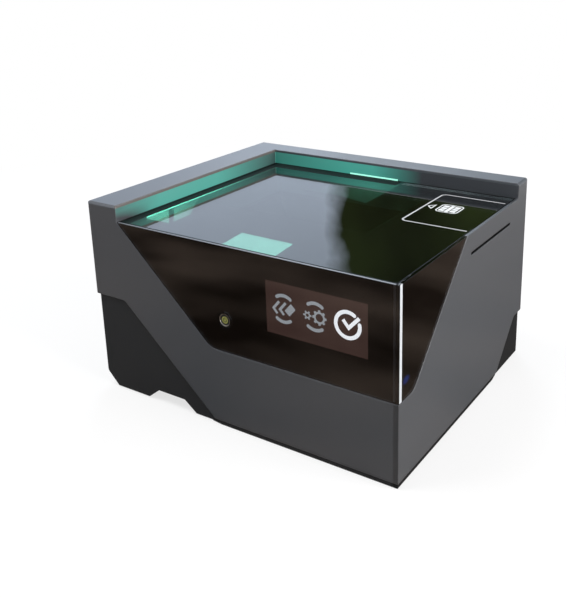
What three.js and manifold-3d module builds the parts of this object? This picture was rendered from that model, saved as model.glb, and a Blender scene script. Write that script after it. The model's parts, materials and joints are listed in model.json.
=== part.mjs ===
// A desk-top passport scanner: a grey case with a raised rim round two sides of a flat scan glass,
// a black base, smoked panes at the front, and the camera, lights, boards and card reader inside.
// Millimetres. In the model's own space the front left corner of the case stands at the origin,
// X runs to the right, Y to the rear and Z up; the whole is then centred over its footprint.

import * as THREE from 'three';
import { mergeVertices } from 'three/addons/utils/BufferGeometryUtils.js';
import Module from 'manifold-3d';

// Case
const caseWidth = 192;
const caseDepth = 160;
const caseHeight = 111;
const caseWall = 3;
const caseCornerRadius = 2;
const fitGap = 0.3;
const cutOverrun = 6;

// Raised rim and the shelf that it carries
const rimHeight = 9;
const leftRimWidth = 21.6;
const backRimWidth = 15.2;
const rimInnerWall = 2;
const rimChamfer = 1.2;
const shelfWidth = 4;
const shelfThickness = 2;
const rightTopWidth = 1.5;

// Seam between the grey case and the black base
const seamHighShare = 0.5135;
const seamRearShare = 0.2559;
const seamLow = 2.9;
const seamHeadX = 22.6;
const seamFootXShare = 0.4328;
const seamFootYShare = 0.7594;
const seamHeadYShare = 0.91875;
const seamBendRadius = 4;

// Base
const baseInset = 1.2;
const baseWall = 2.5;
const footProud = 0.8;
const baseChamfer = 9;
const channelLeftShare = 0.17865;
const channelRightShare = 0.35885;
const channelTopLeftShare = 0.21875;
const channelTopRightShare = 0.3172;
const channelHeight = 6.8;
const channelBendRadius = 1.5;

// Scan glass and what it lies on
const glassThickness = 3;
const shadowGap = 1.2;
const gasketThickness = 0.5;
const gasketWidth = 4;
const carrierThickness = 1.9;
const windowLeftMargin = 6.4;
const windowRightMargin = 6.3;
const windowFrontShare = 0.35;
const windowRearMargin = 5.8;

// Smoked panes
const paneThickness = 1.5;
const paneBottomShare = 0.4009;
const frontPaneTopX = 22.1;
const frontPaneBendShare = 0.4323;
const frontPaneBendRadius = 10;
const sidePaneTopShare = 0.45125;
const sidePaneBendY = 15;
const sidePaneBendRadius = 7;
const stripFront = 0.9;
const stripWidth = 2.2;

// Display
const displayRightMargin = 15.5;
const displayWidth = 57;
const displayTopMargin = 12;
const displayHeight = 27.2;
const displayBorder = 2.5;
const displayThickness = 2;
const displayBracketThickness = 1;
const ribbonOffset = 9;
const ribbonWidth = 14;
const ribbonThickness = 0.4;
const ribbonTail = 8;

// Power button
const buttonToDisplay = 26;
const buttonDrop = 0.5;
const bezelRadius = 3.8;
const bezelInnerRadius = 3;
const buttonRadius = 2.7;
const buttonRecess = 0.2;
const buttonFlangeRadius = 3.6;
const buttonFlangeThickness = 1;
const buttonTravel = 0.8;
const switchSize = 6;
const switchThickness = 1.5;

// Front board, which carries the switch and the indicator
const frontBoardLeftMargin = 9.5;
const frontBoardRightGap = 3;
const frontBoardDrop = 3.8;
const frontBoardHeight = 9;
const frontBoardTabWidth = 20;
const frontBoardTabMargin = 6.2;
const boardThickness = 1.6;
const postRadius = 2;
const postInset = 3.2;
const indicatorY = 8;
const indicatorRise = 5.5;
const indicatorSize = 2.6;

// Card reader
const cardSlotToPane = 6;
const cardSlotLength = 55;
const cardSlotHeight = 1.6;
const cardDrop = 11.3;
const cardReach = 40.7;
const readerSideWall = 2.4;
const readerFloor = 3;
const readerStop = 2.1;
const readerCoverThickness = 1.5;
const chipInset = 20.8;
const chipLength = 17;
const carriageInset = 8.7;
const carriageLength = 12;
const carriageThickness = 2.2;
const carriageTravel = 3.5;
const carriageFinger = 1.8;
const fingerWidth = 6;
const leverInset = 5.7;
const leverPivotRadius = 0.8;
const leverHubRadius = 2;
const leverLength = 5.6;
const leverWidth = 1.6;
const leverThickness = 1.2;
const leverWall = 1.5;

// Optics
const tunnelWall = 1.6;
const tunnelLapLeft = 1.7;
const tunnelLapRight = 0.8;
const tunnelLapFront = 2;
const tunnelLapRear = 1.2;
const tunnelCollarHeight = 14;
const chamberLeftShare = 0.2604;
const chamberRightShare = 0.8125;
const chamberFrontShare = 0.425;
const chamberRearShare = 0.7875;
const chamberTopShare = 0.4685;
const chamberBottom = 12;
const chamberThroatShare = 0.5417;
const mirrorThickness = 3;
const mirrorClearance = 1.2;
const mirrorSideGap = 0.6;
const bracketThickness = 2;
const cameraBracketThickness = 2;
const cameraBoardMargin = 3.4;
const sensorSize = 7;
const sensorThickness = 1.2;
const holderSize = 18;
const holderLength = 12;
const barrelRadius = 7;
const barrelInnerRadius = 5.4;
const barrelLength = 18;
const lensThickness = 3;
const lensInset = 1.5;

// Lighting
const ledBoardThickness = 1.2;
const ledBoardHeight = 10;
const ledDiffuserThickness = 2.2;
const ledEndGap = 4;
const antennaThickness = 1.2;
const antennaWidth = 5.5;

// Main board and what stands on it
const mainBoardFromRight = 74;
const mainBoardFront = 14;
const standoffHeight = 2.1;
const standoffRadius = 3;
const boardScrewInset = 5;
const boardScrewRadius = 1.25;
const boardScrewHeadRadius = 2.3;
const boardScrewHeadHeight = 1.5;
const boardScrewLength = 4.4;
const processorSize = 16;
const processorThickness = 1.4;
const processorInset = 22;
const heatsinkSize = 24;
const heatsinkBase = 2;
const finHeight = 7;
const finThickness = 1.2;
const finPitch = 3.8;
const buzzerRadius = 5;
const buzzerHeight = 4.2;
const buzzerInset = 50;

// Sockets in the rear wall of the base
const socketShell = 0.5;
const usbCFromRight = 67.5;
const usbCWidth = 9;
const usbCHeight = 3.3;
const usbCDepth = 7.5;
const usbAFromRight = 54;
const usbAWidth = 14.4;
const usbAHeight = 7;
const usbADepth = 13;
const tongueShare = 0.34;
const powerSocketFromRight = 33.5;
const powerSocketWidth = 9.4;
const powerSocketHeight = 11;
const powerSocketDepth = 14;
const powerSocketBore = 3.1;
const powerSocketBoreDepth = 9.5;
const powerPinRadius = 0.9;
const resetFromRight = 17;
const resetZ = 12;
const resetRadius = 1.5;
const resetFlangeRadius = 2.6;
const resetFlangeThickness = 1;
const resetRecess = 0.3;
const resetTravel = 0.6;
const resetSwitchDepth = 4;
const lockSlotFromRight = 92;
const lockSlotZ = 15;
const lockSlotWidth = 7.2;
const lockSlotHeight = 3.2;
const lockPlateThickness = 1.5;
const lockPlateMargin = 5;
const ventCount = 7;
const ventWidth = 2;
const ventPitchShare = 0.076;
const ventBottom = 14;
const ventLeft = 26;
const ventMargin = 6;

// Feet and case screws
const footRadius = 6;
const footThickness = 1.1;
const footInset = 22;
const screwRadius = 1.5;
const screwHeadRadius = 2.8;
const screwHeadHeight = 1.8;
const screwGrip = 3;
const screwBite = 8;
const bossRadius = 4.6;
const bossRib = 2;
const lowBossTop = 9;
const bossToBoard = 4.5;

const arcSteps = 3;
const roundSteps = 24;
const fineSteps = 32;

// Levels and faces that several pieces share
const glassTop = caseHeight - rimHeight;
const glassBottom = glassTop - glassThickness;
const gasketTop = glassBottom - fitGap;
const carrierTop = gasketTop - gasketThickness;
const carrierBottom = carrierTop - carrierThickness;
const shelfTop = carrierBottom - fitGap;
const shelfBottom = shelfTop - shelfThickness;
const rimBack = caseDepth - backRimWidth;
const insideRight = caseWidth - caseWall;
const channelLeft = caseWidth * channelLeftShare;
const channelRight = caseWidth * channelRightShare;
const channelTopLeft = caseWidth * channelTopLeftShare;
const channelTopRight = caseWidth * channelTopRightShare;
const seamHigh = caseHeight * seamHighShare;
const seamRear = caseHeight * seamRearShare;
const seamFootX = caseWidth * seamFootXShare;
const seamFootY = caseDepth * seamFootYShare;
const seamHeadY = caseDepth * seamHeadYShare;
const paneBottom = caseHeight * paneBottomShare;
const frontPaneBendX = caseWidth * frontPaneBendShare;
const sidePaneTopY = caseDepth * sidePaneTopShare;
const displayLeft = caseWidth - displayRightMargin - displayWidth;
const displayBottom = glassTop - displayTopMargin - displayHeight;
const buttonX = displayLeft - buttonToDisplay;
const buttonZ = displayBottom - buttonDrop;
const frontBoardLeft = buttonX - frontBoardLeftMargin;
const frontBoardRight = insideRight - frontBoardRightGap;
const frontBoardTop = displayBottom - displayBorder - frontBoardDrop;
const frontBoardBottom = frontBoardTop - frontBoardHeight;
const caseBossHeight = frontBoardBottom - bossToBoard - lowBossTop;
const frontBoardTabRight = frontBoardLeft + frontBoardTabWidth;
const frontBoardTabTop = buttonZ + frontBoardTabMargin;
const indicatorZ = frontBoardBottom + indicatorRise;
const cardSlotFront = sidePaneTopY + cardSlotToPane;
const cardPlane = glassTop - cardDrop;
const cardStopX = caseWidth - cardReach;
const chipFront = cardSlotFront + chipInset;
const chipRear = chipFront + chipLength;
const carriageLeft = cardStopX + carriageInset;
const carriageRight = carriageLeft + carriageLength;
const leverPivotX = cardStopX + leverInset;
const windowLeft = leftRimWidth + windowLeftMargin;
const windowRight = cardStopX - windowRightMargin;
const windowFront = caseDepth * windowFrontShare;
const windowRear = rimBack - windowRearMargin;
const tunnelMouthLeft = windowLeft - tunnelLapLeft;
const tunnelMouthRight = windowRight + tunnelLapRight;
const tunnelMouthFront = windowFront - tunnelLapFront;
const tunnelMouthRear = windowRear + tunnelLapRear;
const chamberLeft = caseWidth * chamberLeftShare;
const chamberRight = caseWidth * chamberRightShare;
const chamberFront = caseDepth * chamberFrontShare;
const chamberRear = caseDepth * chamberRearShare;
const chamberTop = caseHeight * chamberTopShare;
const chamberThroatRight = caseWidth * chamberThroatShare;
const cameraZ = (chamberTop + chamberBottom) / 2;
const cameraBoardSize = chamberTop - chamberBottom - (tunnelWall + cameraBoardMargin) * 2;
const ventPitch = (seamFootX - seamHeadX) * ventPitchShare;
const mainBoardLeft = caseWidth - mainBoardFromRight;
const processorX = mainBoardLeft + processorInset;
const processorY = mainBoardFront + processorInset;
const buzzerX = mainBoardLeft + buzzerInset;
const usbCX = caseWidth - usbCFromRight;
const usbAX = caseWidth - usbAFromRight;
const powerSocketX = caseWidth - powerSocketFromRight;
const resetX = caseWidth - resetFromRight;
const lockSlotX = caseWidth - lockSlotFromRight;
const floorTop = seamLow - fitGap;
const baseInside = baseInset + baseWall;
const rearWallInside = caseDepth - baseInside;
const paneRebate = paneThickness + fitGap;
const readerCoverBottom = cardPlane + cardSlotHeight / 2 + fitGap;
const readerCoverTop = readerCoverBottom + readerCoverThickness;
const readerLeft = cardStopX - carriageFinger - fitGap - readerStop;
const readerFront = cardSlotFront - leverHubRadius * 2 - fitGap * 2 - leverWall;
const readerRear = cardSlotFront + cardSlotLength + readerSideWall;
const boardTop = floorTop + standoffHeight + fitGap + boardThickness;
const partBottom = boardTop + fitGap;
const socketMouth = caseDepth - baseInset - fitGap;

const wasm = await Module();
wasm.setup();

const scanner = new THREE.Group();
scanner.position.set(-caseWidth / 2, -caseDepth / 2, 0);

// Turns a closed geometry into a solid that can be joined and cut
function solidOf(geometry) {
  const bare = geometry.clone();
  bare.deleteAttribute('normal');
  bare.deleteAttribute('uv');
  const merged = mergeVertices(bare);
  return new wasm.Manifold(new wasm.Mesh({
    numProp: 3,
    vertProperties: merged.attributes.position.array,
    triVerts: Uint32Array.from(merged.index.array),
  }));
}

// Turns a finished solid back into a geometry that a mesh can hold
function geometryOf(solid) {
  const mesh = solid.getMesh();
  const geometry = new THREE.BufferGeometry();
  geometry.setAttribute('position', new THREE.BufferAttribute(Float32Array.from(mesh.vertProperties), 3));
  geometry.setIndex(new THREE.BufferAttribute(Uint32Array.from(mesh.triVerts), 1));
  geometry.computeVertexNormals();
  return geometry;
}

const join = (...solids) => solids.reduce((whole, piece) => whole.add(piece));
const cut = (body, ...tools) => tools.reduce((rest, tool) => rest.subtract(tool), body);
const keep = (body, ...tools) => tools.reduce((rest, tool) => rest.intersect(tool), body);
const beyond = ([low, high]) => [low - cutOverrun, high + cutOverrun];
const about = (middle, size) => [middle - size / 2, middle + size / 2];

// Puts a named piece of one material into the scanner
function add(name, solid, material) {
  const mesh = new THREE.Mesh(geometryOf(solid), material.clone());
  mesh.name = name;
  scanner.add(mesh);
  return mesh;
}

// How each kind of drawing plane lies in space: its own x, its own y, and the way it is extruded
const planes = {
  top: new THREE.Matrix4(),
  front: new THREE.Matrix4().makeBasis(
    new THREE.Vector3(1, 0, 0), new THREE.Vector3(0, 0, 1), new THREE.Vector3(0, -1, 0)),
  side: new THREE.Matrix4().makeBasis(
    new THREE.Vector3(0, 1, 0), new THREE.Vector3(0, 0, 1), new THREE.Vector3(1, 0, 0)),
};

// A shape from corners given as [across, up, radius]; the radius may be left out
function shapeOf(corners) {
  const shape = new THREE.Shape();
  const count = corners.length;
  corners.forEach(([x, y, radius = 0], i) => {
    const point = new THREE.Vector2(x, y);
    if (radius === 0) {
      if (i === 0) shape.moveTo(x, y);
      else shape.lineTo(x, y);
      return;
    }
    const before = new THREE.Vector2(...corners[(i + count - 1) % count]).sub(point).normalize();
    const after = new THREE.Vector2(...corners[(i + 1) % count]).sub(point).normalize();
    const half = Math.acos(THREE.MathUtils.clamp(before.dot(after), -1, 1)) / 2;
    const start = point.clone().addScaledVector(before, radius / Math.tan(half));
    const end = point.clone().addScaledVector(after, radius / Math.tan(half));
    const middle = before.clone().add(after).normalize();
    const centre = point.clone().addScaledVector(middle, radius / Math.sin(half));
    const from = Math.atan2(start.y - centre.y, start.x - centre.x);
    const to = Math.atan2(end.y - centre.y, end.x - centre.x);
    if (i === 0) shape.moveTo(start.x, start.y);
    else shape.lineTo(start.x, start.y);
    shape.absarc(centre.x, centre.y, radius, from, to, before.cross(after) > 0);
  });
  return shape;
}

// The same corners moved outwards by a distance, or inwards by a negative one
function grow(corners, distance) {
  const count = corners.length;
  const turn = Math.sign(THREE.ShapeUtils.area(corners.map(([x, y]) => new THREE.Vector2(x, y))));
  return corners.map(([x, y, radius = 0], i) => {
    const point = new THREE.Vector2(x, y);
    const into = point.clone().sub(new THREE.Vector2(...corners[(i + count - 1) % count])).normalize();
    const out = new THREE.Vector2(...corners[(i + 1) % count]).sub(point).normalize();
    const normalIn = new THREE.Vector2(into.y, -into.x).multiplyScalar(turn);
    const normalOut = new THREE.Vector2(out.y, -out.x).multiplyScalar(turn);
    const reach = distance / (1 + normalIn.dot(normalOut));
    const bend = Math.sign(into.cross(out)) * turn;
    const moved = point.addScaledVector(normalIn.add(normalOut), reach);
    return [moved.x, moved.y, radius === 0 ? 0 : Math.max(radius + bend * distance, 0)];
  });
}

// A solid of one outline, drawn in a plane and extruded from low to high along the third axis
function prism(corners, plane, [low, high], steps = arcSteps) {
  const geometry = new THREE.ExtrudeGeometry(shapeOf(corners), {
    depth: high - low, bevelEnabled: false, curveSegments: steps,
  });
  geometry.applyMatrix4(planes[plane]);
  if (plane === 'top') geometry.translate(0, 0, low);
  if (plane === 'front') geometry.translate(0, high, 0);
  if (plane === 'side') geometry.translate(low, 0, 0);
  return solidOf(geometry);
}

function block([left, right], [front, rear], [bottom, top]) {
  const geometry = new THREE.BoxGeometry(right - left, rear - front, top - bottom);
  geometry.translate((left + right) / 2, (front + rear) / 2, (bottom + top) / 2);
  return solidOf(geometry);
}

// A round bar along one axis; the centre gives its place on the other two, in X, Y, Z order
function bar(axis, [first, second], radius, [low, high], steps = roundSteps) {
  const geometry = new THREE.CylinderGeometry(radius, radius, high - low, steps);
  const middle = (low + high) / 2;
  if (axis === 'x') geometry.rotateZ(-Math.PI / 2).translate(middle, first, second);
  if (axis === 'y') geometry.translate(first, middle, second);
  if (axis === 'z') geometry.rotateX(Math.PI / 2).translate(first, second, middle);
  return solidOf(geometry);
}

// A solid between a rectangle at one height and another above it
function funnel([left, right, front, rear, bottom], [topLeft, topRight, topFront, topRear, top]) {
  const geometry = new THREE.BoxGeometry(1, 1, 1);
  const position = geometry.attributes.position;
  for (let i = 0; i < position.count; i++) {
    const above = position.getZ(i) > 0;
    const x = position.getX(i) > 0 ? (above ? topRight : right) : (above ? topLeft : left);
    const y = position.getY(i) > 0 ? (above ? topRear : rear) : (above ? topFront : front);
    position.setXYZ(i, x, y, above ? top : bottom);
  }
  return solidOf(geometry);
}

function finish(color, roughness, metalness = 0) {
  return new THREE.MeshStandardMaterial({ color, roughness, metalness });
}

const greyPaint = finish(0x4a4b4e, 0.55);
const blackShell = finish(0x272727, 0.62);
const blackPlastic = finish(0x151617, 0.6);
const smokedGlass = finish(0x1e1916, 0.06);
const scanGlassFinish = finish(0x1c211c, 0.04);
const whitePlastic = finish(0xe8ebee, 0.35);
const rubber = finish(0x1a1a1a, 0.9);
const steel = finish(0xa8aaad, 0.35, 1);
const aluminium = finish(0xb9bcc0, 0.4, 1);
const boardGreen = finish(0x1f5a3a, 0.5);
const chipBlack = finish(0x1b1b1d, 0.45);
const mirrorSilver = finish(0xdfe3e6, 0.04, 1);
const diffuser = finish(0x8fe0cf, 0.4);
const ribbonBrown = finish(0x8a5a24, 0.45);
const goldContact = finish(0xc9a24b, 0.35, 1);
const blueLens = finish(0x2436c8, 0.25);
const lensGlass = finish(0x2b2f45, 0.05);

// Outlines that two or more pieces follow

const footprint = [
  [0, 0, caseCornerRadius],
  [caseWidth, 0],
  [caseWidth, caseDepth, caseCornerRadius],
  [0, caseDepth, caseCornerRadius],
];
const blackBelowFront = [
  [-cutOverrun, -cutOverrun],
  [seamFootX, -cutOverrun],
  [seamFootX, seamLow],
  [seamHeadX, seamHigh, seamBendRadius],
  [-cutOverrun, seamHigh],
];
const blackBelowRear = [
  [seamFootY, -cutOverrun],
  [caseDepth + cutOverrun, -cutOverrun],
  [caseDepth + cutOverrun, seamRear],
  [seamHeadY, seamRear, seamBendRadius],
  [seamFootY, seamLow],
];
const frontPaneOutline = [
  [frontPaneTopX, glassTop],
  [frontPaneBendX, paneBottom, frontPaneBendRadius],
  [caseWidth, paneBottom],
  [caseWidth, glassTop],
];
const sidePaneOutline = [
  [stripFront + stripWidth + fitGap, paneBottom],
  [sidePaneBendY, paneBottom, sidePaneBendRadius],
  [sidePaneTopY, glassTop],
  [stripFront + stripWidth + fitGap, glassTop],
];
const acrossWidth = [-cutOverrun, caseWidth + cutOverrun];
const acrossDepth = [-cutOverrun, caseDepth + cutOverrun];

// The four case screws: where each stands, and the height at which base and case meet there
const leftBossX = leftRimWidth - rimInnerWall - bossRadius;
const rightBossX = insideRight - bossRadius - fitGap;
const frontBossY = caseWall + bossRadius + fitGap;
const rearBossY = rearWallInside - bossRadius - fitGap;
const caseBosses = [
  [leftBossX, frontBossY, seamHigh],
  [leftBossX, rearBossY, seamHigh],
  [rightBossX, frontBossY, lowBossTop],
  [rightBossX, rearBossY, seamRear],
];
const feet = [
  [footInset, footInset],
  [footInset, caseDepth - footInset],
  [caseWidth - footInset, footInset],
  [caseWidth - footInset, caseDepth - footInset],
];
const mainBoardRear = rearWallInside - fitGap;
const mainBoardRight = rightBossX - bossRadius - fitGap;
const boardScrews = [
  [mainBoardLeft + boardScrewInset, mainBoardFront + boardScrewInset],
  [mainBoardRight - boardScrewInset, mainBoardFront + boardScrewInset],
  [mainBoardLeft + boardScrewInset, mainBoardRear - powerSocketDepth - boardScrewInset],
  [mainBoardRight - boardScrewInset, mainBoardRear - powerSocketDepth - boardScrewInset],
];
const frontPosts = [
  [frontBoardLeft + postInset, frontBoardBottom + postInset],
  [frontBoardRight - postInset, frontBoardBottom + postInset],
  [frontBoardTabRight - postInset, frontBoardTabTop - postInset],
];
const switchFace = caseWall + fitGap + buttonFlangeThickness + buttonTravel + fitGap;
const frontBoardFront = switchFace + switchThickness + fitGap;

// Case

function makeUpperHousing() {
  const topOpening = [
    block([leftRimWidth, caseWidth + cutOverrun], [-cutOverrun, rimBack],
      [glassTop, caseHeight + cutOverrun]),
    block([leftRimWidth, caseWidth - rightTopWidth], [paneThickness, rimBack],
      [gasketTop, glassTop + cutOverrun]),
    block([leftRimWidth, insideRight], [caseWall, rimBack], [shelfTop, glassTop + cutOverrun]),
  ];
  const hollow = block([caseWall, insideRight], [caseWall, caseDepth - caseWall],
    [-cutOverrun, caseHeight - caseWall]);
  let housing = cut(prism(footprint, 'top', [seamLow, caseHeight]), hollow);

  const underRoof = caseHeight - caseWall + fitGap;
  const rimWallLeft = block([leftRimWidth - rimInnerWall, leftRimWidth],
    [caseWall - fitGap, rimBack + rimInnerWall], [shelfBottom, underRoof]);
  const rimWallBack = block([leftRimWidth - rimInnerWall, insideRight + fitGap],
    [rimBack, rimBack + rimInnerWall], [shelfBottom, underRoof]);
  const shelf = cut(
    block([leftRimWidth - fitGap, insideRight + fitGap], [caseWall - fitGap, rimBack + fitGap],
      [shelfBottom, shelfTop]),
    block([leftRimWidth + shelfWidth, insideRight - shelfWidth],
      [caseWall + shelfWidth, rimBack - shelfWidth], beyond([shelfBottom, shelfTop])));
  housing = join(housing, rimWallLeft, rimWallBack, shelf);

  for (const [x, y, seam] of caseBosses) {
    const underRim = x < leftRimWidth;
    const bossTop = underRim ? underRoof : seam + caseBossHeight;
    const wallFace = underRim ? leftRimWidth - rimInnerWall : insideRight;
    const ribBottom = Math.max(seam, bossTop - caseBossHeight);
    housing = join(housing, bar('z', [x, y], bossRadius, [seam, bossTop]),
      block([x, wallFace + fitGap], about(y, bossRib), [ribBottom, bossTop]));
  }
  for (const [x, z] of frontPosts) {
    housing = join(housing, bar('y', [x, z], postRadius, [caseWall - fitGap, frontBoardFront - fitGap]));
  }

  housing = cut(housing,
    prism(blackBelowFront, 'front', acrossDepth),
    prism(blackBelowRear, 'side', acrossWidth),
    ...topOpening);
  for (const [x, y, seam] of caseBosses) {
    housing = cut(housing, bar('z', [x, y], screwRadius + fitGap,
      [seam - cutOverrun, seam + screwBite + fitGap]));
  }

  const frontRebate = prism(grow(frontPaneOutline, fitGap), 'front', [-cutOverrun, paneRebate]);
  const sideRebateOutline = [
    [-cutOverrun, paneBottom], ...sidePaneOutline.slice(1, 3), [-cutOverrun, glassTop],
  ];
  const sideRebate = prism(grow(sideRebateOutline, fitGap), 'side',
    [caseWidth - paneRebate, caseWidth + cutOverrun]);
  housing = cut(housing, frontRebate, sideRebate, makeHousingWindows(), makeRimChamfers());
  return housing;
}

// The openings through the housing's walls: display, button, indicator and card slot
function makeHousingWindows() {
  return join(
    block([displayLeft, displayLeft + displayWidth], [-cutOverrun, caseWall + fitGap],
      [displayBottom, displayBottom + displayHeight]),
    bar('y', [buttonX, buttonZ], bezelInnerRadius, [-cutOverrun, caseWall + fitGap]),
    bar('x', [indicatorY, indicatorZ], indicatorSize / 2 + fitGap,
      [insideRight - fitGap, caseWidth + cutOverrun]),
    block([insideRight - fitGap, caseWidth + cutOverrun], [cardSlotFront, cardSlotFront + cardSlotLength],
      [cardPlane - cardSlotHeight / 2, cardPlane + cardSlotHeight / 2]));
}

// Wedges that take the sharp edge off the rim's outer top edges and its two ends
function makeRimChamfers() {
  const over = rimChamfer + cutOverrun;
  const left = [
    [-cutOverrun, caseHeight - over], [rimChamfer + cutOverrun, caseHeight + cutOverrun],
    [-cutOverrun, caseHeight + cutOverrun],
  ];
  const right = left.map(([x, z]) => [caseWidth - x, z]);
  const front = left;
  const rear = left.map(([y, z]) => [caseDepth - y, z]);
  return join(
    prism(left, 'front', acrossDepth), prism(right, 'front', acrossDepth),
    prism(front, 'side', acrossWidth), prism(rear, 'side', acrossWidth));
}

function makeBaseShell() {
  const right = caseWidth - baseInset;
  const rear = caseDepth - baseInset;
  const outside = [
    [baseInset, baseInset, caseCornerRadius], [right, baseInset],
    [right, rear, caseCornerRadius], [baseInset, rear, caseCornerRadius],
  ];
  const chamferEdge = [
    [baseInset - cutOverrun, footProud - cutOverrun],
    [baseInset + baseChamfer + cutOverrun, footProud - cutOverrun],
    [baseInset - cutOverrun, footProud + baseChamfer + cutOverrun],
  ];
  const channel = [
    [channelLeft, footProud], [channelTopLeft, channelHeight, channelBendRadius],
    [channelTopRight, channelHeight, channelBendRadius], [channelRight, footProud],
    [channelRight, footProud - cutOverrun], [channelLeft, footProud - cutOverrun],
  ];
  const belowSeam = join(
    block(acrossWidth, acrossDepth, [0, floorTop]),
    prism(grow(blackBelowFront, -fitGap), 'front', acrossDepth),
    prism(grow(blackBelowRear, -fitGap), 'side', acrossWidth));
  const underCuts = join(prism(chamferEdge, 'front', acrossDepth), prism(channel, 'front', acrossDepth));
  const shell = cut(keep(prism(outside, 'top', [footProud, seamHigh]), belowSeam), underCuts);

  const roomAbove = cut(
    block([baseInside, caseWidth - baseInside], [baseInside, caseDepth - baseInside],
      [floorTop, caseHeight]),
    prism(grow(chamferEdge, baseWall), 'front', acrossDepth),
    prism(grow(channel, baseWall), 'front', acrossDepth));
  return cut(join(cut(shell, roomAbove), makeBaseBosses()), underCuts, makeBaseHoles());
}

function makeBaseBosses() {
  const bosses = caseBosses.map(([x, y, seam]) => bar('z', [x, y], bossRadius,
    [footProud, seam - fitGap]));
  const standoffs = boardScrews.map(([x, y]) => bar('z', [x, y], standoffRadius,
    [footProud, floorTop + standoffHeight]));
  const tunnelPosts = [];
  for (const x of [chamberLeft + bossRadius, mainBoardLeft - bossRadius]) {
    for (const y of [chamberFront + bossRadius, chamberRear - bossRadius]) {
      tunnelPosts.push(bar('z', [x, y], standoffRadius, [channelHeight, chamberBottom - fitGap]));
      tunnelPosts.push(bar('z', [x, y], standoffRadius, [footProud, channelHeight]));
    }
  }
  return join(...bosses, ...standoffs, ...tunnelPosts);
}

// The height of the slanting seam at a place across the front
function seamHeightAt(x) {
  return seamHigh - (x - seamHeadX) * (seamHigh - seamLow) / (seamFootX - seamHeadX);
}

function makeBaseHoles() {
  const holes = [];
  for (const [x, y, seam] of caseBosses) {
    holes.push(bar('z', [x, y], screwHeadRadius + fitGap, [-cutOverrun, seam - screwGrip]));
    holes.push(bar('z', [x, y], screwRadius + fitGap, [-cutOverrun, seam + cutOverrun]));
  }
  for (const [x, y] of boardScrews) {
    holes.push(bar('z', [x, y], boardScrewRadius + fitGap,
      [boardTop + fitGap - boardScrewLength - fitGap, boardTop]));
  }
  for (const [x, y] of feet) {
    holes.push(bar('z', [x, y], footRadius + fitGap, [-cutOverrun, footThickness + fitGap]));
  }
  const wallSpan = [rearWallInside - cutOverrun, caseDepth + cutOverrun];
  const aperture = (x, width, height) => block([x - fitGap, x + width + fitGap], wallSpan,
    [partBottom - fitGap, partBottom + height + fitGap]);
  holes.push(aperture(usbCX, usbCWidth, usbCHeight));
  holes.push(aperture(usbAX, usbAWidth, usbAHeight));
  holes.push(aperture(powerSocketX, powerSocketWidth, powerSocketHeight));
  holes.push(bar('y', [resetX, resetZ], resetRadius + fitGap, wallSpan));
  holes.push(block([lockSlotX, lockSlotX + lockSlotWidth], wallSpan,
    [lockSlotZ, lockSlotZ + lockSlotHeight]));
  for (let i = 0; i < ventCount; i++) {
    const x = ventLeft + i * ventPitch;
    holes.push(block([x, x + ventWidth], wallSpan, [ventBottom, seamHeightAt(x + ventWidth) - ventMargin]));
  }
  return join(...holes);
}

add('upper_housing', makeUpperHousing(), greyPaint);
add('base_shell', makeBaseShell(), blackShell);

// Scan glass, its gasket and its carrier

const glassLeft = leftRimWidth + shadowGap;
const glassRight = caseWidth - rightTopWidth - fitGap;
const glassFront = paneThickness + fitGap;
const glassRear = rimBack - shadowGap;
const carrierLeft = leftRimWidth + fitGap;
const carrierRight = insideRight - fitGap;
const carrierFront = caseWall + fitGap;
const carrierRear = rimBack - fitGap;

function makeGasket() {
  return cut(
    block([carrierLeft, carrierRight], [carrierFront, carrierRear], [carrierTop, gasketTop]),
    block([carrierLeft + gasketWidth, carrierRight - gasketWidth],
      [carrierFront + gasketWidth, carrierRear - gasketWidth], beyond([carrierTop, gasketTop])));
}

function makeCarrier() {
  return cut(
    block([carrierLeft, carrierRight], [carrierFront, carrierRear], [carrierBottom, carrierTop]),
    block([windowLeft, windowRight], [windowFront, windowRear], beyond([carrierBottom, carrierTop])));
}

add('document_glass', block([glassLeft, glassRight], [glassFront, glassRear], [glassBottom, glassTop]),
  scanGlassFinish);
add('glass_gasket', makeGasket(), rubber);
add('glass_carrier', makeCarrier(), blackPlastic);

// Smoked panes and the white strip where they meet

const stripX = [caseWidth - paneThickness, caseWidth];
const stripY = [stripFront, stripFront + stripWidth];
const stripZ = [paneBottom, glassTop];
const aroundStrip = block([stripX[0] - fitGap, caseWidth + cutOverrun],
  [stripY[0] - fitGap, stripY[1] + fitGap], beyond([paneBottom, glassTop]));
const bezelHole = bar('y', [buttonX, buttonZ], bezelRadius + fitGap, beyond([0, paneThickness]));

add('front_fascia', cut(prism(frontPaneOutline, 'front', [0, paneThickness]), aroundStrip, bezelHole),
  smokedGlass);
add('side_fascia', prism(sidePaneOutline, 'side', [caseWidth - paneThickness, caseWidth]), smokedGlass);
add('corner_strip', block(stripX, stripY, stripZ), whitePlastic);

// Display, its bracket and its ribbon

const displayX = [displayLeft - displayBorder, displayLeft + displayWidth + displayBorder];
const displayZ = [displayBottom - displayBorder, displayBottom + displayHeight + displayBorder];
const displayFront = caseWall + fitGap;
const displayRear = displayFront + displayThickness;
const bracketRear = displayRear + fitGap + displayBracketThickness;
const ribbonX = [displayLeft + ribbonOffset, displayLeft + ribbonOffset + ribbonWidth];
const ribbonRear = frontBoardFront + boardThickness + fitGap + ribbonThickness;

function makeRibbon() {
  const top = displayZ[0] - fitGap;
  const bottom = partBottom;
  const outline = [
    [displayFront, top], [displayFront, top - ribbonThickness],
    [ribbonRear - ribbonThickness, top - ribbonThickness], [ribbonRear - ribbonThickness, bottom],
    [ribbonRear + ribbonTail, bottom], [ribbonRear + ribbonTail, bottom + ribbonThickness],
    [ribbonRear, bottom + ribbonThickness], [ribbonRear, top],
  ];
  return prism(outline, 'side', ribbonX);
}

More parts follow.
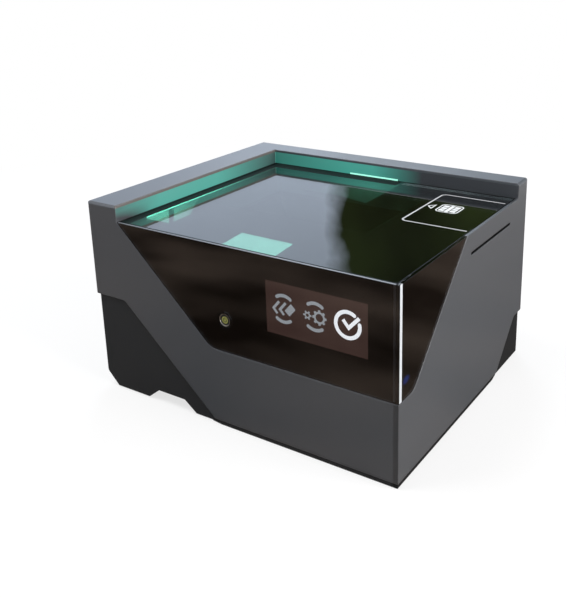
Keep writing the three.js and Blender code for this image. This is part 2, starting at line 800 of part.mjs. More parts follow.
add('display_panel', block(displayX, [displayFront, displayRear], displayZ), chipBlack);
add('display_bracket', block(displayX, [displayRear + fitGap, bracketRear],
  [displayZ[0] + displayBorder, displayZ[1]]), steel);
add('display_ribbon', makeRibbon(), ribbonBrown);

// Power button, its bezel, switch and board, and the indicator

const buttonTail = caseWall + fitGap + buttonFlangeThickness;

function makeFrontBoard() {
  const outline = [
    [frontBoardLeft, frontBoardBottom], [frontBoardRight, frontBoardBottom],
    [frontBoardRight, frontBoardTop], [frontBoardTabRight, frontBoardTop],
    [frontBoardTabRight, frontBoardTabTop], [frontBoardLeft, frontBoardTabTop],
  ];
  return prism(outline, 'front', [frontBoardFront, frontBoardFront + boardThickness]);
}

add('button_bezel', cut(bar('y', [buttonX, buttonZ], bezelRadius, [0, paneThickness], fineSteps),
  bar('y', [buttonX, buttonZ], bezelInnerRadius, beyond([0, paneThickness]))), aluminium);
add('power_button', join(
  bar('y', [buttonX, buttonZ], buttonRadius, [buttonRecess, buttonTail]),
  bar('y', [buttonX, buttonZ], buttonFlangeRadius, [caseWall + fitGap, buttonTail])), blackPlastic);
add('power_switch', block(about(buttonX, switchSize), [switchFace, switchFace + switchThickness],
  about(buttonZ, switchSize)), chipBlack);
add('front_board', makeFrontBoard(), boardGreen);
add('status_led', block([frontBoardRight + fitGap, insideRight - fitGap],
  about(indicatorY, indicatorSize), about(indicatorZ, indicatorSize)), blueLens);

// Card reader: a tray, its cover, the contact carriage that the card pushes, and the detect lever

const trayTop = cardPlane + cardSlotHeight / 2;
const trayFloor = cardPlane - cardSlotHeight / 2;
const readerX = [readerLeft, insideRight - fitGap];
const readerY = [readerFront, readerRear];
const coverWindow = [carriageLeft - carriageTravel - fitGap * 2, carriageRight + fitGap * 2];
const fingerX = [cardStopX + carriageTravel - carriageFinger, cardStopX + carriageTravel];
const fingerY = about((chipFront + chipRear) / 2, fingerWidth);
const leverPivot = [leverPivotX, cardSlotFront - leverHubRadius - fitGap];

function makeReaderFrame() {
  const tray = cut(
    block(readerX, readerY, [trayFloor - readerFloor, trayTop]),
    block([readerLeft + readerStop, caseWidth], [cardSlotFront, cardSlotFront + cardSlotLength],
      [trayFloor, trayTop + cutOverrun]),
    block([leverPivotX - leverLength - leverWidth / 2 - fitGap, leverPivotX + leverHubRadius + fitGap],
      [readerFront + leverWall, cardSlotFront + fitGap], [trayFloor, trayTop + cutOverrun]));
  const pivot = bar('z', leverPivot, leverPivotRadius, [trayFloor - readerFloor / 2, trayTop]);
  return join(tray, pivot);
}

function makeReaderCover() {
  return cut(
    block(readerX, readerY, [readerCoverBottom, readerCoverTop]),
    block(coverWindow, [chipFront - fitGap, chipRear + fitGap],
      beyond([readerCoverBottom, readerCoverTop])),
    block([readerLeft - cutOverrun, coverWindow[1]], [fingerY[0] - fitGap, fingerY[1] + fitGap],
      beyond([readerCoverBottom, readerCoverTop])));
}

function makeCarriage() {
  const armTop = readerCoverBottom + carriageThickness / 2;
  return join(
    block([carriageLeft, carriageRight], [chipFront, chipRear],
      [readerCoverBottom, readerCoverBottom + carriageThickness]),
    block([fingerX[0], carriageLeft + carriageFinger], fingerY, [readerCoverBottom, armTop]),
    block(fingerX, fingerY, [trayFloor + fitGap, armTop]));
}

function makeDetectLever() {
  const [x, y] = leverPivot;
  const span = [trayFloor + fitGap / 2, trayFloor + fitGap / 2 + leverThickness];
  return cut(
    join(bar('z', leverPivot, leverHubRadius, span),
      block(about(x, leverWidth), [y, y + leverLength], span)),
    bar('z', leverPivot, leverPivotRadius + fitGap, beyond([trayFloor, trayTop])));
}

add('card_reader_frame', makeReaderFrame(), blackPlastic);
add('card_reader_cover', makeReaderCover(), blackPlastic);
add('card_contact_carriage', makeCarriage(), goldContact);
add('card_detect_lever', makeDetectLever(), steel);

// Light path: a black tunnel from the window to a slanting mirror and on to the camera

const collarTop = carrierBottom - fitGap - antennaThickness - fitGap;
const collarBottom = collarTop - tunnelCollarHeight;
const chamberMiddleY = (chamberFront + chamberRear) / 2;
const chamberFloor = chamberBottom + tunnelWall + fitGap;
const mirrorLow = chamberFloor + mirrorThickness * Math.SQRT1_2;
const mirrorHigh = chamberTop - tunnelWall;
const mirrorLeft = chamberLeft + tunnelWall + mirrorClearance + bracketThickness + mirrorThickness;
const mirrorRun = mirrorHigh - mirrorLow;
const chamberInsideY = [chamberFront + tunnelWall + mirrorSideGap, chamberRear - tunnelWall - mirrorSideGap];

function makeTunnelForm(wall) {
  const rim = [
    tunnelMouthLeft + wall, tunnelMouthRight - wall, tunnelMouthFront + wall, tunnelMouthRear - wall,
  ];
  const throat = [chamberLeft + wall, chamberThroatRight - wall, chamberFront + wall, chamberRear - wall];
  const reach = wall === 0 ? 0 : cutOverrun;
  return join(
    block([rim[0], rim[1]], [rim[2], rim[3]], [collarBottom - fitGap, collarTop + reach]),
    funnel([...throat, chamberTop], [...rim, collarBottom]),
    block([throat[0], throat[1]], [throat[2], throat[3]],
      [chamberBottom + wall, chamberTop + fitGap]),
    block([throat[0], chamberRight + reach], [throat[2], throat[3]],
      [chamberBottom + wall, chamberTop - wall]));
}

// A plate that slopes at 45 degrees, low at the right, its upper face through the given low corner
function slope(foot, run, thickness) {
  const drop = thickness * Math.SQRT1_2;
  const corners = [
    [foot[0], foot[1]], [foot[0] - run, foot[1] + run],
    [foot[0] - run - drop, foot[1] + run - drop], [foot[0] - drop, foot[1] - drop],
  ];
  return prism(corners, 'front', chamberInsideY);
}

const mirrorFoot = [mirrorLeft + mirrorRun, mirrorLow];
const backGap = (mirrorThickness + fitGap) * Math.SQRT1_2;
const bracketFootZ = chamberFloor + bracketThickness * Math.SQRT1_2;
const bracketFoot = [mirrorFoot[0] + mirrorFoot[1] - 2 * backGap - bracketFootZ, bracketFootZ];

// A folded plate: a foot on the chamber's floor, and a leaf that backs the mirror
function makeMirrorBracket() {
  const [x, z] = bracketFoot;
  const drop = bracketThickness * Math.SQRT1_2;
  const run = mirrorRun - mirrorThickness - bracketThickness;
  const footTop = chamberFloor + bracketThickness;
  const outline = [
    [x, z], [x - run, z + run], [x - run - drop, z + run - drop],
    [x + z - 2 * drop - footTop, footTop], [chamberLeft + tunnelWall + fitGap, footTop],
    [chamberLeft + tunnelWall + fitGap, chamberFloor], [x - drop, chamberFloor],
  ];
  return prism(outline, 'front', chamberInsideY);
}

add('optical_tunnel', cut(makeTunnelForm(0), makeTunnelForm(tunnelWall)), blackPlastic);
add('fold_mirror', slope(mirrorFoot, mirrorRun, mirrorThickness), mirrorSilver);
add('mirror_bracket', makeMirrorBracket(), steel);

// Camera, which looks along -X at the mirror

const cameraAxis = [chamberMiddleY, cameraZ];
const cameraPlateX = [chamberRight - tunnelWall - cameraBracketThickness, chamberRight - tunnelWall];
const cameraBoardX = [cameraPlateX[0] - fitGap - boardThickness, cameraPlateX[0] - fitGap];
const sensorX = [cameraBoardX[0] - fitGap - sensorThickness, cameraBoardX[0] - fitGap];
const holderX = [cameraBoardX[0] - fitGap - holderLength, cameraBoardX[0] - fitGap];
const barrelX = [holderX[0] - barrelLength / 2, holderX[0] + holderLength / 2];
const lensX = [barrelX[0] + lensInset, barrelX[0] + lensInset + lensThickness];
const squareOn = (size) => [about(cameraAxis[0], size), about(cameraAxis[1], size)];

function makeLensHolder() {
  return cut(block(holderX, ...squareOn(holderSize)),
    bar('x', cameraAxis, barrelRadius + fitGap, [holderX[0] - cutOverrun, barrelX[1] + fitGap]),
    block([barrelX[1] - fitGap, holderX[1] + cutOverrun], ...squareOn(sensorSize + fitGap * 2)));
}

function makeLensBarrel() {
  return cut(bar('x', cameraAxis, barrelRadius, barrelX, fineSteps),
    bar('x', cameraAxis, barrelInnerRadius, [barrelX[0] - cutOverrun, lensX[1] + fitGap]),
    bar('x', cameraAxis, barrelInnerRadius / 2, [barrelX[0], barrelX[1] + cutOverrun]));
}

add('camera_bracket', block(cameraPlateX, chamberInsideY,
  [chamberFloor, chamberTop - tunnelWall - fitGap]), aluminium);
add('camera_board', block(cameraBoardX, ...squareOn(cameraBoardSize)), boardGreen);
add('image_sensor', block(sensorX, ...squareOn(sensorSize)), chipBlack);
add('lens_holder', makeLensHolder(), blackPlastic);
add('lens_barrel', makeLensBarrel(), blackPlastic);
add('lens_element', bar('x', cameraAxis, barrelInnerRadius - fitGap, lensX), lensGlass);

// Antenna loop round the window, and a light board with its diffuser on each side of the tunnel's mouth

const mouthX = [tunnelMouthLeft + tunnelWall, tunnelMouthRight - tunnelWall];
const mouthY = [tunnelMouthFront + tunnelWall, tunnelMouthRear - tunnelWall];
const lightZ = [collarTop - fitGap - ledBoardHeight, collarTop - fitGap];

function makeAntenna() {
  const top = carrierBottom - fitGap;
  const outer = [[tunnelMouthLeft, tunnelMouthRight], [tunnelMouthFront, tunnelMouthRear]];
  return cut(block(...outer, [top - antennaThickness, top]),
    block([outer[0][0] + antennaWidth, outer[0][1] - antennaWidth],
      [outer[1][0] + antennaWidth, outer[1][1] - antennaWidth],
      beyond([top - antennaThickness, top])));
}

function addLight(side) {
  const thick = ledBoardThickness;
  const deep = ledDiffuserThickness;
  const along = side === 'left' || side === 'right'
    ? [mouthY[0] + ledEndGap, mouthY[1] - ledEndGap] : [mouthX[0] + ledEndGap, mouthX[1] - ledEndGap];
  const wall = { left: mouthX[0], right: mouthX[1], front: mouthY[0], rear: mouthY[1] }[side];
  const inward = side === 'left' || side === 'front' ? 1 : -1;
  const layer = (near, far) => [wall + inward * near, wall + inward * far].sort((a, b) => a - b);
  const plate = (span) => (side === 'left' || side === 'right'
    ? block(span, along, lightZ) : block(along, span, lightZ));
  add(`led_board_${side}`, plate(layer(fitGap, fitGap + thick)), boardGreen);
  add(`led_diffuser_${side}`, plate(layer(fitGap * 2 + thick, fitGap * 2 + thick + deep)), diffuser);
}

add('antenna_board', makeAntenna(), boardGreen);
for (const side of ['left', 'right', 'front', 'rear']) addLight(side);

// Main board and what stands on it

const mainBoardZ = [boardTop - boardThickness, boardTop];

function makeMainBoard() {
  const plate = block([mainBoardLeft, mainBoardRight], [mainBoardFront, mainBoardRear], mainBoardZ);
  const holes = boardScrews.map(([x, y]) => bar('z', [x, y], boardScrewRadius + fitGap,
    beyond(mainBoardZ)));
  return cut(plate, ...holes);
}

function makeHeatsink() {
  const bottom = partBottom + processorThickness + fitGap;
  const x = about(processorX, heatsinkSize);
  const y = about(processorY, heatsinkSize);
  let sink = block(x, y, [bottom, bottom + heatsinkBase]);
  for (let left = x[0]; left + finThickness <= x[1] + fitGap; left += finPitch) {
    const right = Math.min(left + finThickness, x[1]);
    sink = join(sink, block([left, right], y, [bottom, bottom + heatsinkBase + finHeight]));
  }
  return sink;
}

add('main_board', makeMainBoard(), boardGreen);
add('processor', block(about(processorX, processorSize), about(processorY, processorSize),
  [partBottom, partBottom + processorThickness]), chipBlack);
add('processor_heatsink', makeHeatsink(), aluminium);
add('buzzer', bar('z', [buzzerX, processorY], buzzerRadius,
  [partBottom, partBottom + buzzerHeight]), chipBlack);

// Sockets, which open to the rear

// A flat plug socket: a thin shell, open at the rear, with a contact tongue across it
function makePlugSocket(left, width, height, depth) {
  const x = [left, left + width];
  const z = [partBottom, partBottom + height];
  const y = [socketMouth - depth, socketMouth];
  const shell = cut(block(x, y, z),
    block([x[0] + socketShell, x[1] - socketShell], [y[0] + socketShell, y[1] + cutOverrun],
      [z[0] + socketShell, z[1] - socketShell]));
  const tongueThickness = (height - socketShell * 2) * tongueShare;
  const middle = partBottom + height / 2;
  const tongue = block([x[0] + socketShell * 3, x[1] - socketShell * 3],
    [y[0], y[1] - socketShell * 2], about(middle, tongueThickness));
  return join(shell, tongue);
}

function makePowerSocket() {
  const x = [powerSocketX, powerSocketX + powerSocketWidth];
  const centre = [powerSocketX + powerSocketWidth / 2, partBottom + powerSocketHeight / 2];
  const bored = cut(
    block(x, [socketMouth - powerSocketDepth, socketMouth], [partBottom, partBottom + powerSocketHeight]),
    bar('y', centre, powerSocketBore, [socketMouth - powerSocketBoreDepth, socketMouth + cutOverrun]));
  const pin = bar('y', centre, powerPinRadius,
    [socketMouth - powerSocketBoreDepth - socketShell, socketMouth - socketShell]);
  return join(bored, pin);
}

const resetFace = rearWallInside - fitGap;
const resetTail = resetFace - resetFlangeThickness;
const resetSwitchRear = resetTail - resetTravel - fitGap;

function makeLockPlate() {
  const x = [lockSlotX - lockPlateMargin, lockSlotX + lockSlotWidth + lockPlateMargin];
  const z = [lockSlotZ - lockPlateMargin, lockSlotZ + lockSlotHeight + lockPlateMargin];
  const y = [rearWallInside - fitGap - lockPlateThickness, rearWallInside - fitGap];
  return cut(block(x, y, z),
    block([lockSlotX, lockSlotX + lockSlotWidth], beyond(y),
      [lockSlotZ, lockSlotZ + lockSlotHeight]));
}

add('usb_c_socket', makePlugSocket(usbCX, usbCWidth, usbCHeight, usbCDepth), steel);
add('usb_a_socket', makePlugSocket(usbAX, usbAWidth, usbAHeight, usbADepth), steel);
add('power_socket', makePowerSocket(), chipBlack);
add('reset_button', join(
  bar('y', [resetX, resetZ], resetRadius, [resetTail, caseDepth - baseInset - resetRecess]),
  bar('y', [resetX, resetZ], resetFlangeRadius, [resetTail, resetFace])), whitePlastic);
add('reset_switch', block(about(resetX, resetFlangeRadius * 2),
  [resetSwitchRear - resetSwitchDepth, resetSwitchRear], [partBottom, resetZ + resetFlangeRadius]),
chipBlack);
add('lock_plate', makeLockPlate(), steel);

// Screws and feet, numbered front left, rear left, front right, rear right

caseBosses.forEach(([x, y, seam], i) => {
  const headTop = seam - screwGrip - fitGap;
  add(`housing_screw_${i + 1}`, join(
    bar('z', [x, y], screwHeadRadius, [headTop - screwHeadHeight, headTop]),
    bar('z', [x, y], screwRadius, [headTop - screwHeadHeight / 2, seam + screwBite])), steel);
});
boardScrews.forEach(([x, y], i) => {
  const seat = boardTop + fitGap;
  add(`board_screw_${i + 1}`, join(
    bar('z', [x, y], boardScrewHeadRadius, [seat, seat + boardScrewHeadHeight]),
    bar('z', [x, y], boardScrewRadius, [seat - boardScrewLength, seat + boardScrewHeadHeight / 2])), steel);
});
feet.forEach(([x, y], i) => {
  add(`rubber_foot_${i + 1}`, bar('z', [x, y], footRadius, [0, footThickness], fineSteps), rubber);
});

export default scanner;
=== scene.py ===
# %% [markdown]
# # A desk-top passport scanner
# The real machine is a grey case with a raised rim round two sides of a flat scan glass. A black
# base shows below a slanting seam, and smoked panes wrap the front right corner, with a small
# display and a power button behind them. The case, glass, boards and sockets come from the packed
# CAD model, and this lesson gives them finishes and adds the thin printed and lit layers that a
# solid model leaves out. The model's frame counts in metres.

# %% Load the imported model
import json
import math

import bmesh
import bpy
from mathutils import Matrix, Vector


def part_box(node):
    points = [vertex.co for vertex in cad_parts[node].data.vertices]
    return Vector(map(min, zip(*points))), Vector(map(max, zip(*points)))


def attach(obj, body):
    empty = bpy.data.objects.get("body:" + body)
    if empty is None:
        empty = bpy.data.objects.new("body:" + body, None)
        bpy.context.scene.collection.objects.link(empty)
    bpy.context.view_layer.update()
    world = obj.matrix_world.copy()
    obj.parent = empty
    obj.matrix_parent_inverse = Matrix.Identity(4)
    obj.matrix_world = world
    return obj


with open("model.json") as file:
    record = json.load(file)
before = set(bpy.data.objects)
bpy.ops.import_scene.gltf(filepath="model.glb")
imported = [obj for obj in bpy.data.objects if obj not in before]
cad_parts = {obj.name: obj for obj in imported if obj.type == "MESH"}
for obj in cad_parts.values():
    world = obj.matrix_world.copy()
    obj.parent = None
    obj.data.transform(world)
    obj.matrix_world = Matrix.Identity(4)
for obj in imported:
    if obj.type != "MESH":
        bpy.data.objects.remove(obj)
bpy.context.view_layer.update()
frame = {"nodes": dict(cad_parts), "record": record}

nodes = frame["nodes"]
print("nodes loaded:", len(nodes))

# %% [markdown]
# ## Places
# The pieces below were measured in millimetres: x and y from the front left corner of the case,
# z up from the table. One helper turns such a place into the frame, and three more give its x, y
# or z alone. Three drawing planes are enough for this machine: the top, the front and the right
# side.

# %% Places and drawing planes
MM = 0.001
case_low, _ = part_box("upper_housing")


def at(x, y, z):
    return Vector((case_low.x + x * MM, case_low.y + y * MM, z * MM))


def x_at(x):
    return at(x, 0, 0).x


def y_at(y):
    return at(0, y, 0).y


def z_at(z):
    return at(0, 0, z).z


PLANES = {
    "top": lambda u, v, depth: at(u, v, depth),
    "front": lambda u, v, depth: at(u, depth, v),
    "side": lambda u, v, depth: at(depth, u, v),
}
print("case corner:", tuple(round(c, 4) for c in case_low))

# %% [markdown]
# ## Camera
# The photograph was taken from the front right, a little above the glass. The centre of its
# perspective lies above and to the right of the middle of the frame, as it does after a crop. So
# the camera is turned by the three angles that were measured, and its lens is shifted. The helper
# that puts it into the scene does the same for sheets and lamps.

# %% Camera


def add_object(name, data):
    made = bpy.data.objects.new(name, data)
    bpy.context.scene.collection.objects.link(made)
    return made


PHOTO_WIDTH, PHOTO_HEIGHT = 567, 598
FOCAL_PIXELS = 822.1
CENTRE_PIXEL = (330.0, 190.0)
CAMERA_PLACE = Vector((0.24687, -0.36883, 0.24107))
AZIMUTH, ELEVATION, ROLL = (math.radians(a) for a in (32.668, 16.453, -0.990))

lens = bpy.data.cameras.new("photo_camera")
lens.lens = FOCAL_PIXELS * lens.sensor_width / PHOTO_HEIGHT
lens.shift_x = (PHOTO_WIDTH / 2 - CENTRE_PIXEL[0]) / PHOTO_HEIGHT
lens.shift_y = (CENTRE_PIXEL[1] - PHOTO_HEIGHT / 2) / PHOTO_HEIGHT
lens.clip_start = 0.01
camera = add_object("photo_camera", lens)
back = Vector((
    math.sin(AZIMUTH) * math.cos(ELEVATION),
    -math.cos(AZIMUTH) * math.cos(ELEVATION),
    math.sin(ELEVATION),
))
level_right = (-back).cross(Vector((0, 0, 1))).normalized()
level_up = level_right.cross(-back)
right = math.cos(ROLL) * level_right + math.sin(ROLL) * level_up
up = math.cos(ROLL) * level_up - math.sin(ROLL) * level_right
turn = Matrix((right, up, back)).transposed()
camera.matrix_world = Matrix.Translation(CAMERA_PLACE) @ turn.to_4x4()
bpy.context.scene.camera = camera
bpy.context.scene.view_settings.view_transform = "Standard"
print("lens in mm:", round(lens.lens, 2))

# %% [markdown]
# ## Node helpers
# These helpers save typing: one adds a node and sets its inputs, and the others mix two colours,
# stretch a value to another range and do a sum.

# %% Node helpers


def add_node(tree, kind, inputs=None, **settings):
    made = tree.nodes.new("ShaderNode" + kind)
    for name, value in settings.items():
        setattr(made, name, value)
    for name, value in (inputs or {}).items():
        if isinstance(value, bpy.types.NodeSocket):
            tree.links.new(value, made.inputs[name])
        else:
            made.inputs[name].default_value = value
    return made


def mixed(tree, factor, low, high):
    made = add_node(tree, "Mix", data_type="RGBA")
    for slot, value in zip((0, 6, 7), (factor, low, high)):
        if isinstance(value, bpy.types.NodeSocket):
            tree.links.new(value, made.inputs[slot])
        elif slot:
            made.inputs[slot].default_value = (*value[:3], 1)
        else:
            made.inputs[slot].default_value = value
    return made.outputs[2]


def ranged(tree, value, start, end, low=0.0, high=1.0):
    made = add_node(tree, "MapRange", {"Value": value, 1: start, 2: end, 3: low, 4: high})
    return made.outputs[0]


def maths(tree, operation, *values):
    return add_node(tree, "Math", dict(enumerate(values)), operation=operation).outputs[0]


print("node helpers ready")

# %% [markdown]
# A mask is 1 on the surface it means and 0 elsewhere. Masks are multiplied where both must hold,
# and the larger one is taken where either will do. Most masks here follow the place of a point on
# the object, so they stay put from every side. The last helper measures how far a point is from a
# centre, after each axis is scaled: by 0 it drops out.

# %% Masks by place


def times(tree, first, *others):
    for other in others:
        first = maths(tree, "MULTIPLY", first, other)
    return first


def either(tree, first, *others):
    for other in others:
        first = maths(tree, "MAXIMUM", first, other)
    return first


def near(tree, value, wanted, reach):
    away = maths(tree, "ABSOLUTE", maths(tree, "SUBTRACT", value, wanted))
    return maths(tree, "LESS_THAN", away, reach)


def between(tree, value, low, high):
    return times(tree, maths(tree, "GREATER_THAN", value, low),
                 maths(tree, "LESS_THAN", value, high))


def object_place(tree):
    return add_node(tree, "TexCoord").outputs["Object"]


def split_place(tree):
    apart = add_node(tree, "SeparateXYZ", {"Vector": object_place(tree)})
    return apart.outputs[0], apart.outputs[1], apart.outputs[2]


def far_from(tree, centre, scale):
    drawn = add_node(tree, "Mapping", {"Vector": object_place(tree), "Scale": scale})
    middle = [part * size for part, size in zip(centre, scale)]
    away = add_node(tree, "VectorMath", {0: drawn.outputs[0], 1: middle}, operation="DISTANCE")
    return away.outputs["Value"]


print("mask helpers ready")

# %% [markdown]
# ## Shared effects
# Grain, worn edges, dust, brushing, finger smears and the mask of what faces up each turn up on
# more than one finish. Each is a node group with named sockets, built once and placed with its own
# values where it is needed. A group gives only masks and heights; the shader itself stays in each
# material.

# %% Group builder
GROUPS = {}


def group(name, inputs, outputs):
    tree = bpy.data.node_groups.new(name, "ShaderNodeTree")
    for socket, value in inputs.items():
        tree.interface.new_socket(
            socket, in_out="INPUT", socket_type="NodeSocketFloat").default_value = value
    for socket in outputs:
        tree.interface.new_socket(socket, in_out="OUTPUT", socket_type="NodeSocketFloat")
    GROUPS[name] = tree
    print("group:", name, "gives", ", ".join(outputs))
    return tree, tree.nodes.new("NodeGroupInput").outputs, tree.nodes.new("NodeGroupOutput").inputs


def use(tree, name, **inputs):
    made = tree.nodes.new("ShaderNodeGroup")
    made.node_tree = GROUPS[name]
    for socket, value in inputs.items():
        made.inputs[socket.replace("_", " ")].default_value = value
    return made.outputs


# %% [markdown]
# Grain is what a spray gun or a spark-eroded mould leaves: tiny rounded bumps of one size with a
# slower drift of tone. Noise gives the bumps and a second, larger noise the drift.

# %% Grain group
BUMP_SHARE = 0.35
tree, given, made = group("fine_grain", {"Grain": 3000, "Drift": 30}, ("Height", "Tone"))
place = object_place(tree)
bumps = add_node(tree, "TexNoise", {
    "Vector": place, "Scale": given["Grain"], "Detail": 2.0, "Roughness": 0.6})
drift = add_node(tree, "TexNoise", {
    "Vector": place, "Scale": given["Drift"], "Detail": 3.0, "Roughness": 0.55})
tree.links.new(bumps.outputs["Fac"], made["Height"])
both = maths(tree, "ADD", times(tree, bumps.outputs["Fac"], BUMP_SHARE),
             times(tree, drift.outputs["Fac"], 1 - BUMP_SHARE))
tree.links.new(both, made["Tone"])

# %% [markdown]
# Handling rubs the paint thin along corners. The bevel node rounds the normal off near an edge, so
# where it turns away from the true normal an edge is close by. A noise breaks the line up so that
# it doesn't look drawn.

# %% Edge wear group
WEAR_STARTS, WEAR_FULL = 0.99, 0.90
tree, given, made = group("edge_wear", {"Reach": 0.0005, "Patches": 160}, ("Mask",))
round_normal = add_node(tree, "Bevel", {"Radius": given["Reach"]}, samples=4)
true_normal = add_node(tree, "NewGeometry").outputs["Normal"]
turn = add_node(tree, "VectorMath", {0: round_normal.outputs[0], 1: true_normal},
                operation="DOT_PRODUCT").outputs["Value"]
edge = ranged(tree, turn, WEAR_STARTS, WEAR_FULL)
patch = add_node(tree, "TexNoise", {
    "Vector": object_place(tree), "Scale": given["Patches"], "Detail": 4.0})
kept = ranged(tree, patch.outputs["Fac"], 0.38, 0.62)
tree.links.new(times(tree, edge, kept), made["Mask"])

# %% [markdown]
# Dust settles on what faces up and not on walls, so its mask is the upward part of the surface
# normal times a patchy noise. The patches hold a thin film and, here and there, brighter specks.

# %% Dust group
tree, given, made = group("settled_dust", {"Patches": 60, "Specks": 2400}, ("Mask",))
normal = add_node(tree, "NewGeometry").outputs["Normal"]
upward = add_node(tree, "SeparateXYZ", {"Vector": normal}).outputs["Z"]
facing = ranged(tree, upward, 0.3, 1.0)
place = object_place(tree)
patches = add_node(tree, "TexNoise", {
    "Vector": place, "Scale": given["Patches"], "Detail": 3.0}).outputs["Fac"]
specks = add_node(tree, "TexNoise", {
    "Vector": place, "Scale": given["Specks"], "Detail": 1.0}).outputs["Fac"]
THIN_FILM = 0.3
spots = maths(tree, "ADD", ranged(tree, specks, 0.66, 0.74), THIN_FILM)
cover = times(tree, ranged(tree, patches, 0.35, 0.75), spots)
tree.links.new(times(tree, facing, cover), made["Mask"])

# %% [markdown]
# Lit sheets under the scan glass glow only where they face up, so that their undersides stay dark.
# Their mask is hard: it looks at the upward part of the surface normal alone.

# %% Facing up group
tree, given, made = group("facing_up", {"Least": 0.5}, ("Mask",))
normal = add_node(tree, "NewGeometry").outputs["Normal"]
upward = add_node(tree, "SeparateXYZ", {"Vector": normal}).outputs["Z"]
tree.links.new(maths(tree, "GREATER_THAN", upward, given["Least"]), made["Mask"])

# %% [markdown]
# Glossy panes are never quite clean: fingers leave faint oval smears that only change how sharp a
# reflection is. The group gives the roughness, between a least and a most.

# %% Smear group
tree, given, made = group(
    "finger_smears", {"Patches": 35, "Least": 0.01, "Most": 0.06}, ("Roughness",))
streak = add_node(tree, "Mapping", {
    "Vector": object_place(tree), "Rotation": (0.3, 0.2, 0.7), "Scale": (1, 3, 1)})
smears = add_node(tree, "TexNoise", {
    "Vector": streak.outputs[0], "Scale": given["Patches"], "Detail": 4.0, "Distortion": 0.6})
laid = ranged(tree, smears.outputs["Fac"], 0.5, 0.75, given["Least"], given["Most"])
tree.links.new(laid, made["Roughness"])

# %% [markdown]
# Rolled and brushed metal carries fine lines in one direction. Squeezing the space along one axis
# before the noise turns its grains into such lines.

# %% Brushing group
ALONG_LINES = 0.04
tree, given, made = group("brushed_lines", {"Lines": 900}, ("Height", "Tone"))
squeezed = add_node(tree, "Mapping", {
    "Vector": object_place(tree), "Scale": (ALONG_LINES, 1, 1)})
lines = add_node(tree, "TexNoise", {
    "Vector": squeezed.outputs[0], "Scale": given["Lines"], "Detail": 3.0})
tree.links.new(lines.outputs["Fac"], made["Height"])
tree.links.new(ranged(tree, lines.outputs["Fac"], 0.3, 0.7), made["Tone"])
print("effect groups:", sorted(GROUPS))

# %% [markdown]
# ## Finishes
# Every finish starts the same way: one shader whose plain values sit on its own sockets, a colour
# that drifts between two close tones, and a bump if the surface has a texture. Big mouldings also
# get an eased normal near their edges, which rounds them for the light only. Each finish then adds
# what is special to it.

# %% Finish starter
FINISHES = {}


def new_material(name):
    material = bpy.data.materials.new(name)
    material.use_nodes = True
    return material, material.node_tree, material.node_tree.nodes["Principled BSDF"]


def paint(tree, shader, colour):
    tree.links.new(colour, shader.inputs["Base Color"])


def put_out(tree, shader):
    tree.links.new(shader.outputs[0], tree.nodes["Material Output"].inputs[0])


def finish(name, low, high, effect="fine_grain", bump=0.0, depth=0.00005, roughness=None,
           values=None, soft=0.0, **sizes):
    material, tree, shader = new_material(name)
    for socket, value in (values or {}).items():
        shader.inputs[socket].default_value = value
    out = use(tree, effect, **sizes)
    colour = mixed(tree, out["Tone"], low, high)
    paint(tree, shader, colour)
    if roughness:
        spread = ranged(tree, out["Tone"], 0.3, 0.7, *roughness)
        tree.links.new(spread, shader.inputs["Roughness"])
    if bump:
        raised = add_node(tree, "Bump", {
            "Strength": bump, "Distance": depth, "Height": out["Height"]})
        if soft:
            eased = add_node(tree, "Bevel", {"Radius": soft}, samples=6)
            tree.links.new(eased.outputs[0], raised.inputs["Normal"])
        tree.links.new(raised.outputs[0], shader.inputs["Normal"])
    FINISHES[name] = material
    print("finish:", name)
    return tree, shader, colour


# %% [markdown]
# ### Grey paint
# The case is moulded and sprayed a fine satin grey. The paint is rubbed a little thinner along the
# edges and carries a trace of dust. Some places differ, and the next cells add them one by one.

# %% Grey paint
tree, shader, colour = finish(
    "grey_paint", (0.048, 0.052, 0.058), (0.052, 0.056, 0.062), bump=0.16,
    depth=0.00003, roughness=(0.38, 0.42), soft=0.0012, Grain=2600, Drift=9,
    values={"Coat Roughness": 0.28})
worn = use(tree, "edge_wear", Reach=0.0005, Patches=140)["Mask"]
rubbed = mixed(tree, times(tree, worn, 0.35), colour, (0.20, 0.20, 0.21))
dust = use(tree, "settled_dust", Patches=90, Specks=1800)["Mask"]
dusted = mixed(tree, times(tree, dust, 0.02), rubbed, (0.32, 0.31, 0.30))

# %% [markdown]
# The inner walls of the rim, their foot beside the glass, the lip above the left wall and the
# throat of the card slot belong to one moulding, so their masks are worked out from the place. A
# wall's mask reaches a fraction of a millimetre to both sides, so that rounding misses no face.

# %% Places on the case
RIM_LEFT, RIM_BACK = x_at(21.6), y_at(144.8)
FOOT, GLASS_TOP, WALL_TOP = z_at(95.5), z_at(102), z_at(109.5)
WALL_REACH, LIP_REACH = 0.4 * MM, 1.2 * MM
x, y, z = split_place(tree)
left_span = between(tree, y, y_at(0.3), y_at(145.2))
back_span = between(tree, x, x_at(21.2), x_at(191.5))
beside_left = times(tree, near(tree, x, RIM_LEFT, WALL_REACH), left_span)
beside_back = times(tree, near(tree, y, RIM_BACK, WALL_REACH), back_span)
wall_height = between(tree, z, GLASS_TOP, WALL_TOP)
left_wall = times(tree, beside_left, wall_height)
back_wall = times(tree, beside_back, wall_height)
lip = times(tree, maths(tree, "GREATER_THAN", z, WALL_TOP), left_span,
            near(tree, x, RIM_LEFT, LIP_REACH))
# painted shade: the foot beside the glass and the slot with its bevelled mouth are made black below
foot_shade = times(tree, between(tree, z, FOOT, GLASS_TOP), either(tree, beside_left, beside_back))
slot_shade = times(tree, between(tree, x, x_at(186), x_at(191.95)),
                    between(tree, y, y_at(78), y_at(133.4)),
                    between(tree, z, z_at(89.4), z_at(92)))
print("rim walls at x and y in mm:", round(RIM_LEFT / MM, 1), round(RIM_BACK / MM, 1))

